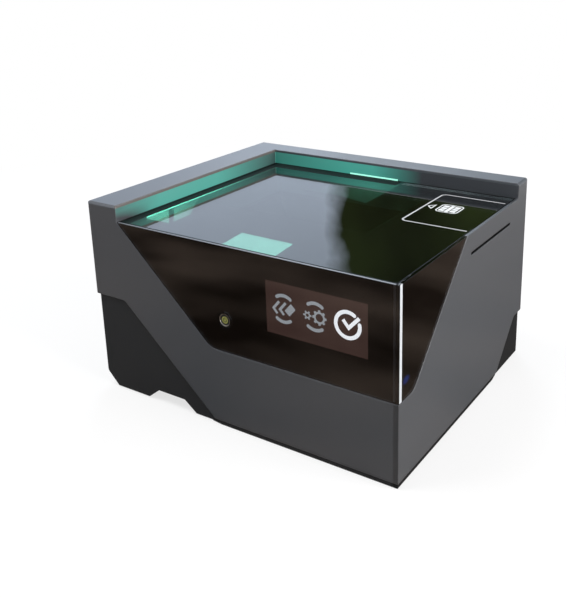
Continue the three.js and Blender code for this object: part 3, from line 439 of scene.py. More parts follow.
# %% [markdown]
# On the two inner walls the scan lights spill a sea-green glow, strongest beside the glass at the
# left and gone just past the middle of the back wall. Real light from lamps under the glass would
# be noisy, so the glow is painted on as emission that follows the place along each wall. It leaves
# the low front end of the left wall dark.

# %% Glow on the rim's walls
GLOW = (0.035, 0.33, 0.26)


def shine(tree, shader, glow):
    tree.links.new(glow, shader.inputs["Emission Color"])
    shader.inputs["Emission Strength"].default_value = 1.0


front_shade = times(tree, ranged(tree, y, y_at(26), y_at(0)),
                    ranged(tree, z, z_at(107.5), GLASS_TOP))
left_run = times(tree, ranged(tree, y, y_at(146), y_at(84), 0.08, 1.0),
                 ranged(tree, y, y_at(0), y_at(34), 0.35, 1.0),
                 ranged(tree, front_shade, 0.0, 0.6, 1.0, 0.0))
back_run = times(tree, ranged(tree, x, x_at(131), x_at(97)),
                 ranged(tree, x, x_at(22), x_at(80), 0.42, 0.85))
spilled = maths(tree, "ADD", times(tree, left_wall, left_run), times(tree, back_wall, back_run))
shine(tree, shader, mixed(tree, spilled, (0, 0, 0), GLOW))
print("glow colour:", GLOW)

# %% [markdown]
# The other places only change the colour: the walls get a slightly darker painted shade, a dark
# band of painted shade stands under the corner strip at the front where the corner turns, and the
# lip above the left wall carries a painted brownish reflection. The foot beside the glass and the
# slot's cut faces with a narrow margin round its mouth are painted black as the shade in these
# gaps.
# The clear coat stops on all of these but the band.

# %% Colours and coat by place
COAT = 0.8
walls = either(tree, left_wall, back_wall)
# painted shade: the rim's inner walls are made darker
shaded = mixed(tree, times(tree, walls, 0.2), dusted, (0.012, 0.012, 0.014))
# painted shade: a dark band at the front end, under the corner strip
corner_shade = times(tree, ranged(tree, x, x_at(189), x_at(189.8)),
                    maths(tree, "LESS_THAN", y, y_at(0.3)))
corner_shaded = mixed(tree, times(tree, corner_shade, 0.55), shaded, (0.012, 0.013, 0.015))
# painted reflection: the lip above the left wall is tinted brown
lip_reflected = mixed(tree, times(tree, lip, 0.8), corner_shaded, (0.115, 0.10, 0.092))
# painted shade: the foot beside the glass and the slot are made black
painted_gap_shade = either(tree, foot_shade, slot_shade)
paint(tree, shader, mixed(tree, painted_gap_shade, lip_reflected, (0.01, 0.01, 0.01)))
bare = either(tree, walls, lip, painted_gap_shade)
tree.links.new(ranged(tree, bare, 0.0, 1.0, COAT, 0.0), shader.inputs["Coat Weight"])
print("coat weight on the paint:", COAT)

# %% [markdown]
# ### Plastics and rubber
# The base is a black moulding with the fine spark texture of its mould, and its right side is
# painted a deeper black as shade, as in the photograph. Carriers and socket bodies are the same
# plastic, smoother.
# Feet are dull rubber that has picked up some dust.

# %% Plastics and rubber
tree, shader, colour = finish(
    "black_shell", (0.021, 0.021, 0.0215), (0.027, 0.027, 0.0275), bump=0.45,
    depth=0.00005, roughness=(0.50, 0.58), soft=0.0008, Grain=1900, Drift=14,
    values={"Specular IOR Level": 0.08})
worn = use(tree, "edge_wear", Reach=0.0005, Patches=140)["Mask"]
rubbed = mixed(tree, times(tree, worn, 0.3), colour, (0.09, 0.09, 0.09))
x, _, _ = split_place(tree)
# painted shade: the base's right side is made a deeper black
right_side_shade = ranged(tree, x, x_at(188.5), x_at(189.5), 0.0, 0.62)
paint(tree, shader, mixed(tree, right_side_shade, rubbed, (0.004, 0.004, 0.004)))
finish("black_moulding", (0.006, 0.006, 0.0065), (0.012, 0.012, 0.0125), bump=0.3,
       roughness=(0.45, 0.6), Grain=2400, Drift=40)
finish("chip_black", (0.010, 0.010, 0.011), (0.018, 0.018, 0.019), bump=0.3,
       roughness=(0.4, 0.55), Grain=2600, Drift=60)
finish("gasket_foam", (0.006, 0.006, 0.006), (0.015, 0.015, 0.015), bump=0.8,
       depth=0.0001, roughness=(0.85, 0.95), Grain=1500, Drift=80)
tree, shader, colour = finish(
    "foot_rubber", (0.010, 0.010, 0.010), (0.022, 0.022, 0.021), bump=0.6,
    depth=0.00008, roughness=(0.75, 0.9), Grain=1400, Drift=90)
dust = use(tree, "settled_dust", Patches=120, Specks=2200)["Mask"]
paint(tree, shader, mixed(tree, times(tree, dust, 0.3), colour, (0.2, 0.19, 0.18)))
finish("button_cap", (0.012, 0.012, 0.011), (0.02, 0.02, 0.018), bump=0.2,
       roughness=(0.25, 0.35), Grain=3200, Drift=200)

# %% [markdown]
# ### Metals
# Screws, socket shells and brackets are bright steel with rolling lines, the bezel and heat sink
# are satin aluminium, and contacts are thin gold. The fold mirror is nearly perfect, so it has no
# bump.

# %% Metals
for name, low, high, span, lines in (
    ("bright_steel", (0.42, 0.43, 0.44), (0.56, 0.56, 0.57), (0.24, 0.38), 1100),
    ("satin_aluminium", (0.50, 0.46, 0.40), (0.66, 0.61, 0.54), (0.3, 0.42), 1500),
    ("contact_gold", (0.62, 0.42, 0.13), (0.78, 0.56, 0.22), (0.22, 0.34), 1300),
    ("mirror_silver", (0.84, 0.85, 0.86), (0.88, 0.89, 0.90), (0.02, 0.05), 300),
):
    finish(name, low, high, effect="brushed_lines", roughness=span, values={"Metallic": 1.0},
           bump=0.0 if name == "mirror_silver" else 0.15, depth=0.00002, Lines=lines)

# %% [markdown]
# Only the inner ring of the button's bezel is bright. Its outer edge is blackened, by the distance
# from the button's axis.

# %% Blackened edge of the bezel
BUTTON = (93.5, 62.3)
EDGE_STARTS, EDGE_ENDS = 3.4 * MM, 4.5 * MM
tree = FINISHES["satin_aluminium"].node_tree
shader = tree.nodes["Principled BSDF"]
colour = shader.inputs["Base Color"].links[0].from_socket
off_axis = far_from(tree, PLANES["front"](*BUTTON, 0), (1, 0, 1))
flange = between(tree, off_axis, EDGE_STARTS, EDGE_ENDS)
paint(tree, shader, mixed(tree, flange, colour, (0.012, 0.011, 0.010)))
print("button axis at x and z in mm:", BUTTON)

# %% [markdown]
# ### Circuit parts
# Boards are green lacquer over copper, so broad lighter tracks show through the lacquer. The
# display's ribbon is amber film with the same tracks running along it.

# %% Circuit parts
for name, low, high, copper, step in (
    ("board_green", (0.008, 0.055, 0.022), (0.014, 0.085, 0.034), (0.03, 0.16, 0.07), 260),
    ("ribbon_film", (0.16, 0.07, 0.012), (0.24, 0.11, 0.02), (0.42, 0.22, 0.06), 900),
):
    tree, shader, colour = finish(name, low, high, bump=0.1,
                                  roughness=(0.25, 0.4), Grain=1200, Drift=70)
    tracks = add_node(tree, "TexBrick", {
        "Vector": object_place(tree), "Scale": step, "Mortar Size": 0.03,
        "Color1": (0, 0, 0, 1), "Color2": (0.1, 0.1, 0.1, 1), "Mortar": (1, 1, 1, 1)})
    shown = add_node(tree, "SeparateColor", {"Color": tracks.outputs["Color"]}).outputs[0]
    paint(tree, shader, mixed(tree, shown, colour, copper))

# %% [markdown]
# ### Glass
# The scan glass and the panes are smoked glass with a hard coat. A plain transmission weight makes
# them see-through, the coat adds the second reflection that a real plate gives, and finger smears
# vary the roughness. The colour of glass belongs in its base colour.

# %% Glass finishes
for name, low, high, coat, smear_span in (
    ("scan_glass", (0.26, 0.30, 0.26), (0.30, 0.34, 0.30), 1.0, (0.004, 0.02)),
    ("smoked_pane", (0.30, 0.27, 0.25), (0.34, 0.31, 0.29), 0.6, (0.01, 0.05)),
    ("lens_glass", (0.62, 0.66, 0.80), (0.70, 0.72, 0.86), 1.0, (0.0, 0.02)),
):
    tree, shader, _ = finish(
        name, low, high, Grain=400, Drift=12,
        values={"Transmission Weight": 1.0, "IOR": 1.5, "Coat Weight": coat,
                "Coat Roughness": 0.01})
    smears = use(tree, "finger_smears", Patches=35, Least=smear_span[0], Most=smear_span[1])
    tree.links.new(smears["Roughness"], shader.inputs["Roughness"])
finish("display_glass", (0.016, 0.013, 0.012), (0.022, 0.018, 0.016),
       roughness=(0.1, 0.2), Grain=500, Drift=20)

# %% [markdown]
# ### Things that shine
# Light pipes, lit symbols and the corner strip's painted highlight are plastic with emission. Their
# glow is uneven, so the emission colour drifts between two tones instead of being one flat value.

# %% Lit finishes


def upward_only(tree, glow):
    return mixed(tree, use(tree, "facing_up", Least=0.5)["Mask"], (0, 0, 0), glow)


def lit(name, low, high, dim, bright, upward=False):
    tree, shader, _ = finish(name, low, high, roughness=(0.3, 0.45),
                             Grain=1800, Drift=120, bump=0.05)
    tone = use(tree, "fine_grain", Grain=2600, Drift=90)["Tone"]
    glow = mixed(tree, ranged(tree, tone, 0.35, 0.65), dim, bright)
    shine(tree, shader, upward_only(tree, glow) if upward else glow)
    return tree, shader


lit("blue_led", (0.02, 0.03, 0.12), (0.03, 0.05, 0.18), (0.01, 0.03, 0.25), (0.02, 0.06, 0.40))
lit("light_diffuser", (0.10, 0.20, 0.17), (0.14, 0.26, 0.22), (0.002, 0.010, 0.008),
    (0.004, 0.016, 0.012))
lit("teal_patch", (0.2, 0.5, 0.42), (0.25, 0.55, 0.5), (0.55, 1.7, 1.5), (0.75, 2.1, 1.9),
    upward=True)
lit("rim_light", (0.5, 0.7, 0.65), (0.6, 0.8, 0.75), (0.16, 0.72, 0.52), (0.22, 0.86, 0.64))
lit("icon_grey", (0.3, 0.3, 0.32), (0.36, 0.36, 0.38), (0.78, 0.95, 1.12), (0.86, 1.04, 1.22))
lit("icon_white", (0.7, 0.7, 0.7), (0.8, 0.8, 0.8), (2.5, 2.9, 3.3), (2.7, 3.1, 3.5))
lit("symbol_green", (0.10, 0.10, 0.03), (0.13, 0.13, 0.04), (0.09, 0.094, 0.014),
    (0.135, 0.135, 0.03))
lit("display_film", (0.02, 0.014, 0.012), (0.024, 0.017, 0.014), (0.112, 0.068, 0.064),
    (0.132, 0.082, 0.076))

# %% [markdown]
# The corner strip carries a painted highlight: it is white and glows softly only on its right face,
# as the rounded corner would catch the light. Its front face is painted as dark as the panes, so
# the strip shows as one thin line at the corner.

# %% White strip with a dark front
tree, shader = lit("white_strip", (0.30, 0.31, 0.32), (0.36, 0.37, 0.38), (0.14, 0.15, 0.16),
                   (0.18, 0.19, 0.20))
x, _, _ = split_place(tree)
# painted highlight: only the strip's right face is white and glows; its front face is painted dark
highlight_face = maths(tree, "GREATER_THAN", x, x_at(191.9))
for socket in ("Base Color", "Emission Color"):
    plain = shader.inputs[socket].links[0].from_socket
    highlight_only = mixed(tree, highlight_face, (0.004, 0.004, 0.004), plain)
    tree.links.new(highlight_only, shader.inputs[socket])
print("finishes:", len(FINISHES))

# %% [markdown]
# ## Finishes on the CAD pieces
# The record says which material slot each node takes, and the slots carry the same names as the
# finishes, so one loop dresses them all. Sharp model edges don't exist on the real thing, so a
# weld and a small bevel are laid over each node, narrower where the piece is thin.

# %% Dress and soften the nodes
THIN_BEVEL, FOOT_BEVEL = 0.08, 0.25
BEVELS = {
    "upper_housing": 0.75, "base_shell": 0.5, "document_glass": 0.25, "front_fascia": 0.12,
    "side_fascia": 0.06, "corner_strip": 0.12, "power_button": 0.25, "button_bezel": 0.15,
    "processor_heatsink": 0.1, "power_socket": 0.15, "reset_button": 0.2,
    **{f"rubber_foot_{i}": FOOT_BEVEL for i in (1, 2, 3, 4)},
}
BEVEL_TURN = math.radians(32)
WELD_REACH = 0.002 * MM
for part in frame["record"]["subparts"]:
    piece = nodes[part["node"]]
    for slot in piece.material_slots:
        slot.material = FINISHES[part["material_slot"]]
    weld = piece.modifiers.new("weld", "WELD")
    weld.merge_threshold = WELD_REACH
    bevel = piece.modifiers.new("soft_edges", "BEVEL")
    bevel.width = BEVELS.get(part["node"], THIN_BEVEL) * MM
    bevel.segments = 2
    bevel.limit_method = "ANGLE"
    bevel.angle_limit = BEVEL_TURN

# %% [markdown]
# ## Thin layers
# Ink, films and lit symbols are sheets, most of them a few hundredths of a millimetre thick. Each
# is drawn as shapes, and a shape is a closed outline with any holes after it. The shapes are filled
# with triangles and pushed out to the sheet's thickness, so every layer is a closed solid.

# %% Sheet builder


def sheet(name, shapes, plane, span, material, body="chassis"):
    mesh = bmesh.new()
    for shape in shapes:
        edges = []
        for outline in shape:
            ring = [mesh.verts.new(PLANES[plane](u, v, span[0])) for u, v in outline]
            edges += [mesh.edges.new(pair) for pair in zip(ring, ring[1:] + ring[:1])]
        bmesh.ops.triangle_fill(mesh, edges=edges, use_beauty=True)
    pushed = bmesh.ops.extrude_face_region(mesh, geom=mesh.faces[:])["geom"]
    moved = [g for g in pushed if isinstance(g, bmesh.types.BMVert)]
    step = PLANES[plane](0, 0, span[1]) - PLANES[plane](0, 0, span[0])
    bmesh.ops.translate(mesh, verts=moved, vec=step)
    bmesh.ops.recalc_face_normals(mesh, faces=mesh.faces[:])
    data = bpy.data.meshes.new(name)
    mesh.to_mesh(data)
    mesh.free()
    data.materials.append(FINISHES[material])
    piece = add_object(name, data)
    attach(piece, body)
    print(name, "faces:", len(data.polygons))


print("sheet builder ready")

# %% [markdown]
# Outlines need a few shapes again and again. The first three are a box, a circle and an arc of
# some width with round ends.

# %% Boxes, circles and arcs
CAP_STEPS = 8


def box_outline(left, low, right, high):
    return [(left, low), (right, low), (right, high), (left, high)]


def on_circle(u, v, radius, turn):
    return (u + radius * math.cos(turn), v + radius * math.sin(turn))


def circle(u, v, radius, steps=48):
    return [on_circle(u, v, radius, 2 * math.pi * i / steps) for i in range(steps)]


def arc_band(u, v, radius, width, start, end, steps=28):
    turns = [math.radians(start + (end - start) * i / steps) for i in range(steps + 1)]
    cap = [math.pi * i / CAP_STEPS for i in range(1, CAP_STEPS)]

    def round_end(turn, side):
        middle = on_circle(u, v, radius, turn)
        return [on_circle(*middle, width / 2, turn + side + c) for c in cap]

    outer = [on_circle(u, v, radius + width / 2, a) for a in turns]
    inner = [on_circle(u, v, radius - width / 2, a) for a in reversed(turns)]
    return outer + round_end(turns[-1], 0) + inner + round_end(turns[0], math.pi)


print("circle points:", len(circle(0, 0, 1)))

# %% [markdown]
# The others are a bent line of some width and corners that are rounded. A limit keeps the mitre of
# a sharp bend short. A closed line gives two outlines, its two sides.

# %% Bent lines and rounded corners
LEAST_MITRE = 0.35


def bent_line(points, width, closed=False):
    points = [Vector(p) for p in points]
    count = len(points)
    sides = ([], [])
    for i, point in enumerate(points):
        before = point - points[i - 1] if i or closed else points[1] - point
        after = points[(i + 1) % count] - point if i < count - 1 or closed else before
        before, after = before.normalized(), after.normalized()
        across = Vector((-before.y - after.y, before.x + after.x)).normalized()
        square = Vector((-before.y, before.x))
        reach = width / 2 / max(across.dot(square), LEAST_MITRE)
        sides[0].append(tuple(point + across * reach))
        sides[1].append(tuple(point - across * reach))
    return sides if closed else [sides[0] + sides[1][::-1]]


def rounded(corners, steps=8):
    made = []
    count = len(corners)
    for i, (u, v, radius) in enumerate(corners):
        corner = Vector((u, v))
        before = (Vector(corners[i - 1][:2]) - corner).normalized()
        after = (Vector(corners[(i + 1) % count][:2]) - corner).normalized()
        if not radius:
            made.append((u, v))
            continue
        half = before.angle(after) / 2
        middle = corner + (before + after).normalized() * (radius / math.sin(half))
        start = (corner + before * (radius / math.tan(half)) - middle).normalized()
        end = (corner + after * (radius / math.tan(half)) - middle).normalized()
        for k in range(steps + 1):
            made.append(tuple(middle + start.slerp(end, k / steps) * radius))
    return made


def rounded_box(left, low, right, high, radius):
    return rounded([(u, v, radius) for u, v in box_outline(left, low, right, high)], 5)


print("rounded box points:", len(rounded_box(0, 0, 2, 1, 0.2)))

# %% [markdown]
# ## Behind the panes
# A real smoked pane is printed black on its back, with clear windows for the display, the button
# and the status light. The print lies in the 0.3 mm gap between pane and case. It stops short of
# the right end of the front pane, where a narrow pale band shows instead.

# %% Ink behind the panes
INK, SIDE_INK = (1.58, 1.64), (190.36, 190.42)
finish("black_ink", (0.0052, 0.0040, 0.0034), (0.0085, 0.0064, 0.0054),
       roughness=(0.5, 0.6), Grain=700, Drift=18)
finish("edge_ink", (0.36, 0.42, 0.48), (0.40, 0.46, 0.52),
       roughness=(0.5, 0.6), Grain=700, Drift=18)
DISPLAY_WINDOW = (119.4, 62.3, 175.9, 89.5)
front_print = rounded([(23.4, 101.6, 0), (83.3, 44.9, 9.6), (188.5, 44.9, 0), (188.5, 101.6, 0)])
sheet("front_ink", [[front_print, box_outline(*DISPLAY_WINDOW), circle(*BUTTON, 3.9)]],
      "front", INK, "black_ink")
sheet("front_edge_band", [[box_outline(188.6, 44.9, 190.4, 101.6)]], "front", INK, "edge_ink")
side_print = rounded([(3.9, 44.9, 0), (14.8, 44.9, 6.6), (71.6, 101.6, 0), (3.9, 101.6, 0)])
sheet("side_ink", [[side_print, circle(8.0, 53.0, 1.5)]], "side", SIDE_INK, "black_ink")

# %% [markdown]
# ## Display
# The lit area of the display is a dull brown with three signs: a document sliding in, two gears
# turning, and a tick in a ring. The first two are dimmed. They are drawn from arcs, bent lines and
# toothed outlines, in front of the film and behind the pane. They were measured together, so one
# small shift puts them all in their place.

# %% Display film and shapes for the signs
FILM, SIGN = (1.56, 1.62), (1.52, 1.55)
SHIFT = (-0.75, -0.58)
sheet("display_face", [[box_outline(119.45, 62.35, 175.85, 89.45)]], "front", FILM,
      "display_film")


def shifted(shapes):
    return [[[(u + SHIFT[0], v + SHIFT[1]) for u, v in outline] for outline in shape]
            for shape in shapes]


def gear(u, v, root, tip, teeth, hole):
    made = []
    for i in range(teeth):
        for share, radius in ((-0.30, root), (-0.17, tip), (0.17, tip), (0.30, root)):
            turn = 2 * math.pi * (i + share) / teeth
            made.append(on_circle(u, v, radius, turn))
    return [made, circle(u, v, hole, 28)]


def turning_arcs(u, v):
    return [[arc_band(u, v, 6.8, 1.7, start, start + 70)] for start in (54, 234)]


print("gear points:", len(gear(0, 0, 1, 2, 8, 0.5)[0]))

# %% [markdown]
# The document is a small slanted page beside two bent lines. Arcs round it and round the gears
# tell that the machine is at work. The tick is the one that is lit.

# %% The three signs
insert_sign = turning_arcs(130.5, 77.1)
for tip in (124.6, 128.4):
    insert_sign.append(bent_line([(tip + 3.4, 80.4), (tip, 76.4), (tip + 2.2, 74.0)], 1.3))
insert_sign.append([rounded([(134.8, 80.6, 0.4), (131.1, 76.3, 0.4), (133.8, 73.9, 0.4),
                             (137.4, 78.1, 0.4)], 4)])
sheet("sign_insert", shifted(insert_sign), "front", SIGN, "icon_grey")
work_sign = turning_arcs(148.4, 77.2)
work_sign += [gear(144.1, 77.1, 1.6, 2.35, 6, 0.85), gear(150.8, 77.2, 3.1, 3.95, 8, 2.05)]
sheet("sign_working", shifted(work_sign), "front", SIGN, "icon_grey")
ready_sign = [[arc_band(166.1, 77.4, 6.4, 1.9, 56, 372)],
              bent_line([(163.6, 79.6), (166.6, 76.1), (172.2, 82.0)], 1.8)]
sheet("sign_ready", shifted(ready_sign), "front", SIGN, "icon_white")

# %% [markdown]
# ## Power button
# The button's cap carries a lit yellow-green disc with a dark power sign cut out of it: an open
# ring with a bar. It rides with the cap, so it goes in when the button is pressed.

# %% Power sign
ON_CAP = (0.14, 0.19)
DISC, RING, RING_WIDTH = 1.9, 1.05, 0.5
RING_START, RING_END = 133, 407
ring = arc_band(*BUTTON, RING, RING_WIDTH, RING_START, RING_END, 20)
bar = box_outline(93.25, 62.4, 93.75, 63.9)
sheet("power_sign", [[circle(*BUTTON, DISC), ring, bar]], "front", ON_CAP, "symbol_green",
      body="power_button")

# %% [markdown]
# ## Status light
# The status light is a blue lamp behind the side pane, seen as a soft spot. Its glow fades from the
# middle of an oval sheet to its rim, by a distance that counts less along the pane.

# %% Status glow
BEHIND_PANE = (190.44, 190.48)
STATUS, STATUS_DEPTH, RADIUS = (8.2, 53.2), 190.4, 2.4
GLOW_ENDS, GLOW_FULL = 2.3 * MM, 1.1 * MM
ALONG_PANE, STRETCH = 0.6, 1.66
tree, shader, _ = finish("status_spot", (0.006, 0.006, 0.01), (0.008, 0.008, 0.014),
                         roughness=(0.4, 0.5), Grain=800, Drift=60)
away = far_from(tree, PLANES["side"](*STATUS, STATUS_DEPTH), (1, ALONG_PANE, 1))
spot = ranged(tree, away, GLOW_ENDS, GLOW_FULL)
shine(tree, shader, mixed(tree, spot, (0, 0, 0), (0.012, 0.065, 0.48)))
oval = [(STATUS[0] + (u - STATUS[0]) * STRETCH, v) for u, v in circle(*STATUS, RADIUS)]
sheet("status_glow", [[oval]], "side", BEHIND_PANE, "status_spot")

# %% [markdown]
# ## Under the scan glass
# Below the glass lies a printed black frame, clear over the camera's window. The scan lights show
# as a bright line along the left edge with a wedge at its front end, a pale panel at the front and
# a dim sheet of light towards the back. Lamps inside the case would change with every view of the
# glass, so these are thin layers that glow upwards only.

# %% Printed frame
UNDER = (98.76, 98.82)
LIGHTS = (98.86, 98.92)
frame_shape = [box_outline(23.0, 2.0, 190.0, 143.4), box_outline(27.5, 55.5, 145.5, 139.5)]
sheet("glass_ink", [frame_shape], "top", UNDER, "black_ink")

# %% [markdown]
# The bright line fades towards the back, and the wedge towards the back and the right, where the
# real light spreads out.

# %% Edge line and wedge


def fade(tree, shader, share):
    plain = shader.inputs["Emission Color"].links[0].from_socket
    tree.links.new(mixed(tree, share, (0, 0, 0), plain), shader.inputs["Emission Color"])


tree, shader = lit("cyan_edge", (0.2, 0.5, 0.42), (0.25, 0.55, 0.5), (1.2, 5.6, 4.4),
                   (1.5, 6.4, 5.0), upward=True)
_, y, _ = split_place(tree)
fade(tree, shader, ranged(tree, y, y_at(108), y_at(50), 0.08, 1.0))
line = [(26.5, 17.2), (28.5, 16.2), (28.1, 138.2), (27.0, 138.2)]
sheet("edge_light", [[line]], "top", LIGHTS, "cyan_edge")

tree, shader = lit("teal_wedge", (0.1, 0.3, 0.25), (0.12, 0.35, 0.3), (0.36, 1.40, 1.12),
                   (0.48, 1.70, 1.38), upward=True)
x, y, _ = split_place(tree)
fade(tree, shader, times(tree, ranged(tree, y, y_at(57), y_at(24)),
                         ranged(tree, x, x_at(56), x_at(36))))
wedge = [(28.5, 14.9), (45.4, 15.4), (28.5, 33.0)]
wedge_tail = [(28.5, 37.7), (45.5, 18.6), (45.5, 32.0), (28.5, 58.0)]
sheet("edge_wedge", [[wedge], [wedge_tail]], "top", LIGHTS, "teal_wedge")

# %% [markdown]
# The panel at the front is even, and the sheet at the back gets brighter towards the back and the
# right. Above the glass, a thin strip on the back wall of the rim is the light bar's bright edge.

# %% Front panel, back sheet and rim strip
front_panel = [(91.0, 3.0), (89.0, 22.6), (121.4, 22.0), (123.4, 3.0)]
sheet("front_light", [[front_panel]], "top", LIGHTS, "teal_patch")
tree, shader, _ = finish("light_sheet", (0.01, 0.02, 0.018), (0.02, 0.03, 0.028),
                         roughness=(0.4, 0.5), Grain=800, Drift=60)
x, y, _ = split_place(tree)
share = times(tree, ranged(tree, y, y_at(97), y_at(139), 0.3, 1.0),
              ranged(tree, x, x_at(74), x_at(104)))
spread = mixed(tree, share, (0, 0, 0), (0.10, 0.46, 0.36))
shine(tree, shader, upward_only(tree, spread))
back_shape = [(72.0, 103.0), (98.0, 103.0), (119.0, 97.6), (118.6, 139.6), (72.0, 139.6)]
sheet("back_light", [[back_shape]], "top", LIGHTS, "light_sheet")
ON_RIM = (144.42, 144.72)
sheet("rim_strip", [[box_outline(80.6, 102.06, 114.6, 102.9)]], "front", ON_RIM, "rim_light")

# %% [markdown]
# ## Marks on the glass
# On top of the glass a fine silver line marks where a card goes, with the sign of a chip and a
# small arrow beside it. The line runs off the glass at the right, so it stays open there.

# %% Card line
PRINT = (102.01, 102.04)
CARD_LEFT, CARD_LOW, CARD_HIGH = 150.8, 78.4, 132.9
CORNER, WIDTH, LINE_END = 3.4, 1.0, 188.8
finish("silver_print", (0.42, 0.42, 0.43), (0.50, 0.50, 0.51), roughness=(0.3, 0.4),
       Grain=900, Drift=80)
outer = rounded([(LINE_END, CARD_HIGH, 0), (CARD_LEFT, CARD_HIGH, CORNER),
                 (CARD_LEFT, CARD_LOW, CORNER), (LINE_END, CARD_LOW, 0)])
in_left, in_low, in_high = CARD_LEFT + WIDTH, CARD_LOW + WIDTH, CARD_HIGH - WIDTH
inner = rounded([(LINE_END, in_low, 0), (in_left, in_low, CORNER - WIDTH),
                 (in_left, in_high, CORNER - WIDTH), (LINE_END, in_high, 0)])
sheet("card_outline", [[outer + inner]], "top", PRINT, "silver_print")

# %% [markdown]
# The sign of the chip is a rounded frame with a bar and six contacts. The arrow, drawn in outline,
# points at the card's edge.

# %% Chip and arrow
CELL_WIDTH, CELL_HEIGHT = 3.3, 2.9
finish("white_print", (0.70, 0.72, 0.72), (0.80, 0.82, 0.82), roughness=(0.3, 0.4),
       Grain=900, Drift=80)
edge_of_chip = [rounded_box(159.4, 101.6, 172.6, 115.5, 2.9),
                rounded_box(160.1, 102.3, 171.9, 114.8, 2.3)]
chip = [edge_of_chip, [box_outline(164.9, 102.8, 167.1, 114.3)]]
for low in (103.4, 107.0, 110.6):
    for left in (161.0, 167.7):
        chip.append([box_outline(left, low, left + CELL_WIDTH, low + CELL_HEIGHT)])
sheet("chip_sign", chip, "top", PRINT, "white_print")
arrow = bent_line([(153.2, 108.2), (156.4, 104.9), (156.4, 111.5)], 0.65, closed=True)
sheet("arrow_sign", [arrow], "top", PRINT, "white_print")

# %% [markdown]
# Along the rim the glass carries a matt black border, which keeps the walls' glow out of the scan.
# A dark line along the glass's front edge is painted shade in the gap there, and a pale line in
# front of it is a painted highlight on the top front edge. Where the grey case reaches down to the
# table, a narrow black band covers the base's lower edge and, as painted shade, the gap above it.

# %% Border, gap shade, edge highlight and base band
EDGE_HIGHLIGHT_SPAN, BASE_EDGE_SHADE = (101.99, 102.02), (0.5, 2.95)
finish("matt_border", (0.006, 0.012, 0.011), (0.009, 0.016, 0.015),
       roughness=(0.6, 0.7), Grain=900, Drift=60, values={"Specular IOR Level": 0.12})
border = [(22.9, 2.0), (28.9, 2.0), (28.9, 135.4), (118.0, 135.4), (118.0, 143.4), (22.9, 143.4)]
sheet("glass_border", [[border]], "top", PRINT, "matt_border")
# painted shade: a dark line in the gap at the glass's front edge
glass_gap_shade = box_outline(24.0, 1.75, 189.6, 2.3)
sheet("front_gap_shade_sheet", [[glass_gap_shade]], "top", PRINT, "matt_border")
# painted highlight: a pale line on the top front edge, in front of the glass
finish("edge_highlight", (0.13, 0.14, 0.16), (0.17, 0.18, 0.20), bump=0.2,
       roughness=(0.35, 0.5), Grain=2200, Drift=70)
sheet("front_edge_highlight", [[box_outline(22.6, 0.25, 190.0, 1.35)]], "top", EDGE_HIGHLIGHT_SPAN,
      "edge_highlight")
# painted shade: the band covers the base's lower edge and darkens the gap above the table
base_edge_shade = [(80.5, 1.1), (87.0, 0.3), (191.7, 0.3), (191.7, 116.0), (190.9, 123.0), (190.4, 123.0),
          (190.4, 1.6), (80.5, 1.6)]
sheet("base_edge_and_gap_shade", [[base_edge_shade]], "top", BASE_EDGE_SHADE, "black_shell")

# %% [markdown]
# ## Floor and surroundings
# Floor and cards are no part of the machine. A card isn't seen by the camera, gives no soft light
# and throws no shadow.

# %% Stage planes


def stage_plane(name, corners, material, seen):
    data = bpy.data.meshes.new(name)
    data.from_pydata(corners, [], [(0, 1, 2, 3)])
    data.materials.append(material)
    piece = add_object(name, data)
    if not seen:
        piece.visible_camera = piece.visible_diffuse = piece.visible_shadow = False
    print(name, "seen by the camera:", seen)


# %% [markdown]
# The floor is a large pale sheet that keeps the object's soft shadow. Most of its colour is plain
# white for the camera, glossy and glass rays, and more so farther out, so it reads as a white
# studio floor without more light on the object.

# %% Floor
FLOOR = (-14.0, -14.0, 14.0, 14.0)
NEAR, FAR, NEAR_SHARE = 0.30, 0.60, 0.72
floor_finish, tree, shader = new_material("studio_floor")
shader.inputs["Base Color"].default_value = (0.94, 0.94, 0.94, 1)
shader.inputs["Roughness"].default_value = 0.9
shader.inputs["Specular IOR Level"].default_value = 0.0
rays = add_node(tree, "LightPath").outputs
shows = either(tree, rays["Is Glossy Ray"], rays["Is Transmission Ray"], rays["Is Camera Ray"])
white = add_node(tree, "Emission", {"Color": (1, 1, 1, 1), "Strength": 1.0})
away = add_node(tree, "VectorMath", {0: object_place(tree)}, operation="LENGTH").outputs["Value"]
share = ranged(tree, away, NEAR, FAR, NEAR_SHARE, 1.0)
both = add_node(tree, "MixShader", {
    0: times(tree, shows, share), 1: shader.outputs[0], 2: white.outputs[0]})
put_out(tree, both)
stage_plane("floor", [(x, y, 0) for x, y in box_outline(*FLOOR)], floor_finish, True)

# %% [markdown]
# ## Dark cards
# Two dark cards are seen by reflections only. A cloudy tone keeps them from looking like flat paper
# in the panes. It is held down beside and behind the machine and rises again farther out at the
# right, because the side pane mirrors the near part and is the darkest pane.

# %% Card clouds group
HELD_DOWN = 0.4
tree, given, made = group(
    "card_clouds", {"Scale": 5, "Stretch X": 1, "Stretch Y": 1, "Stretch Z": 1}, ("Tone",))
stretch = add_node(tree, "CombineXYZ", {axis: given["Stretch " + axis] for axis in "XYZ"})
drawn = add_node(tree, "Mapping", {"Vector": object_place(tree), "Scale": stretch.outputs[0]})
cloud = add_node(tree, "TexNoise", {
    "Vector": drawn.outputs[0], "Scale": given["Scale"], "Detail": 2.0, "Roughness": 0.5})
x, y, _ = split_place(tree)
in_front = ranged(tree, y, -0.085, -0.04, 1.0, HELD_DOWN)
far_right = ranged(tree, x, 0.26, 0.36)
tone = times(tree, ranged(tree, cloud.outputs["Fac"], 0.35, 0.68),
             either(tree, in_front, far_right))
tree.links.new(tone, made["Tone"])

# %% [markdown]
# A card is plain emission in two tones of one colour, so no lamp changes it.

# %% Card finish


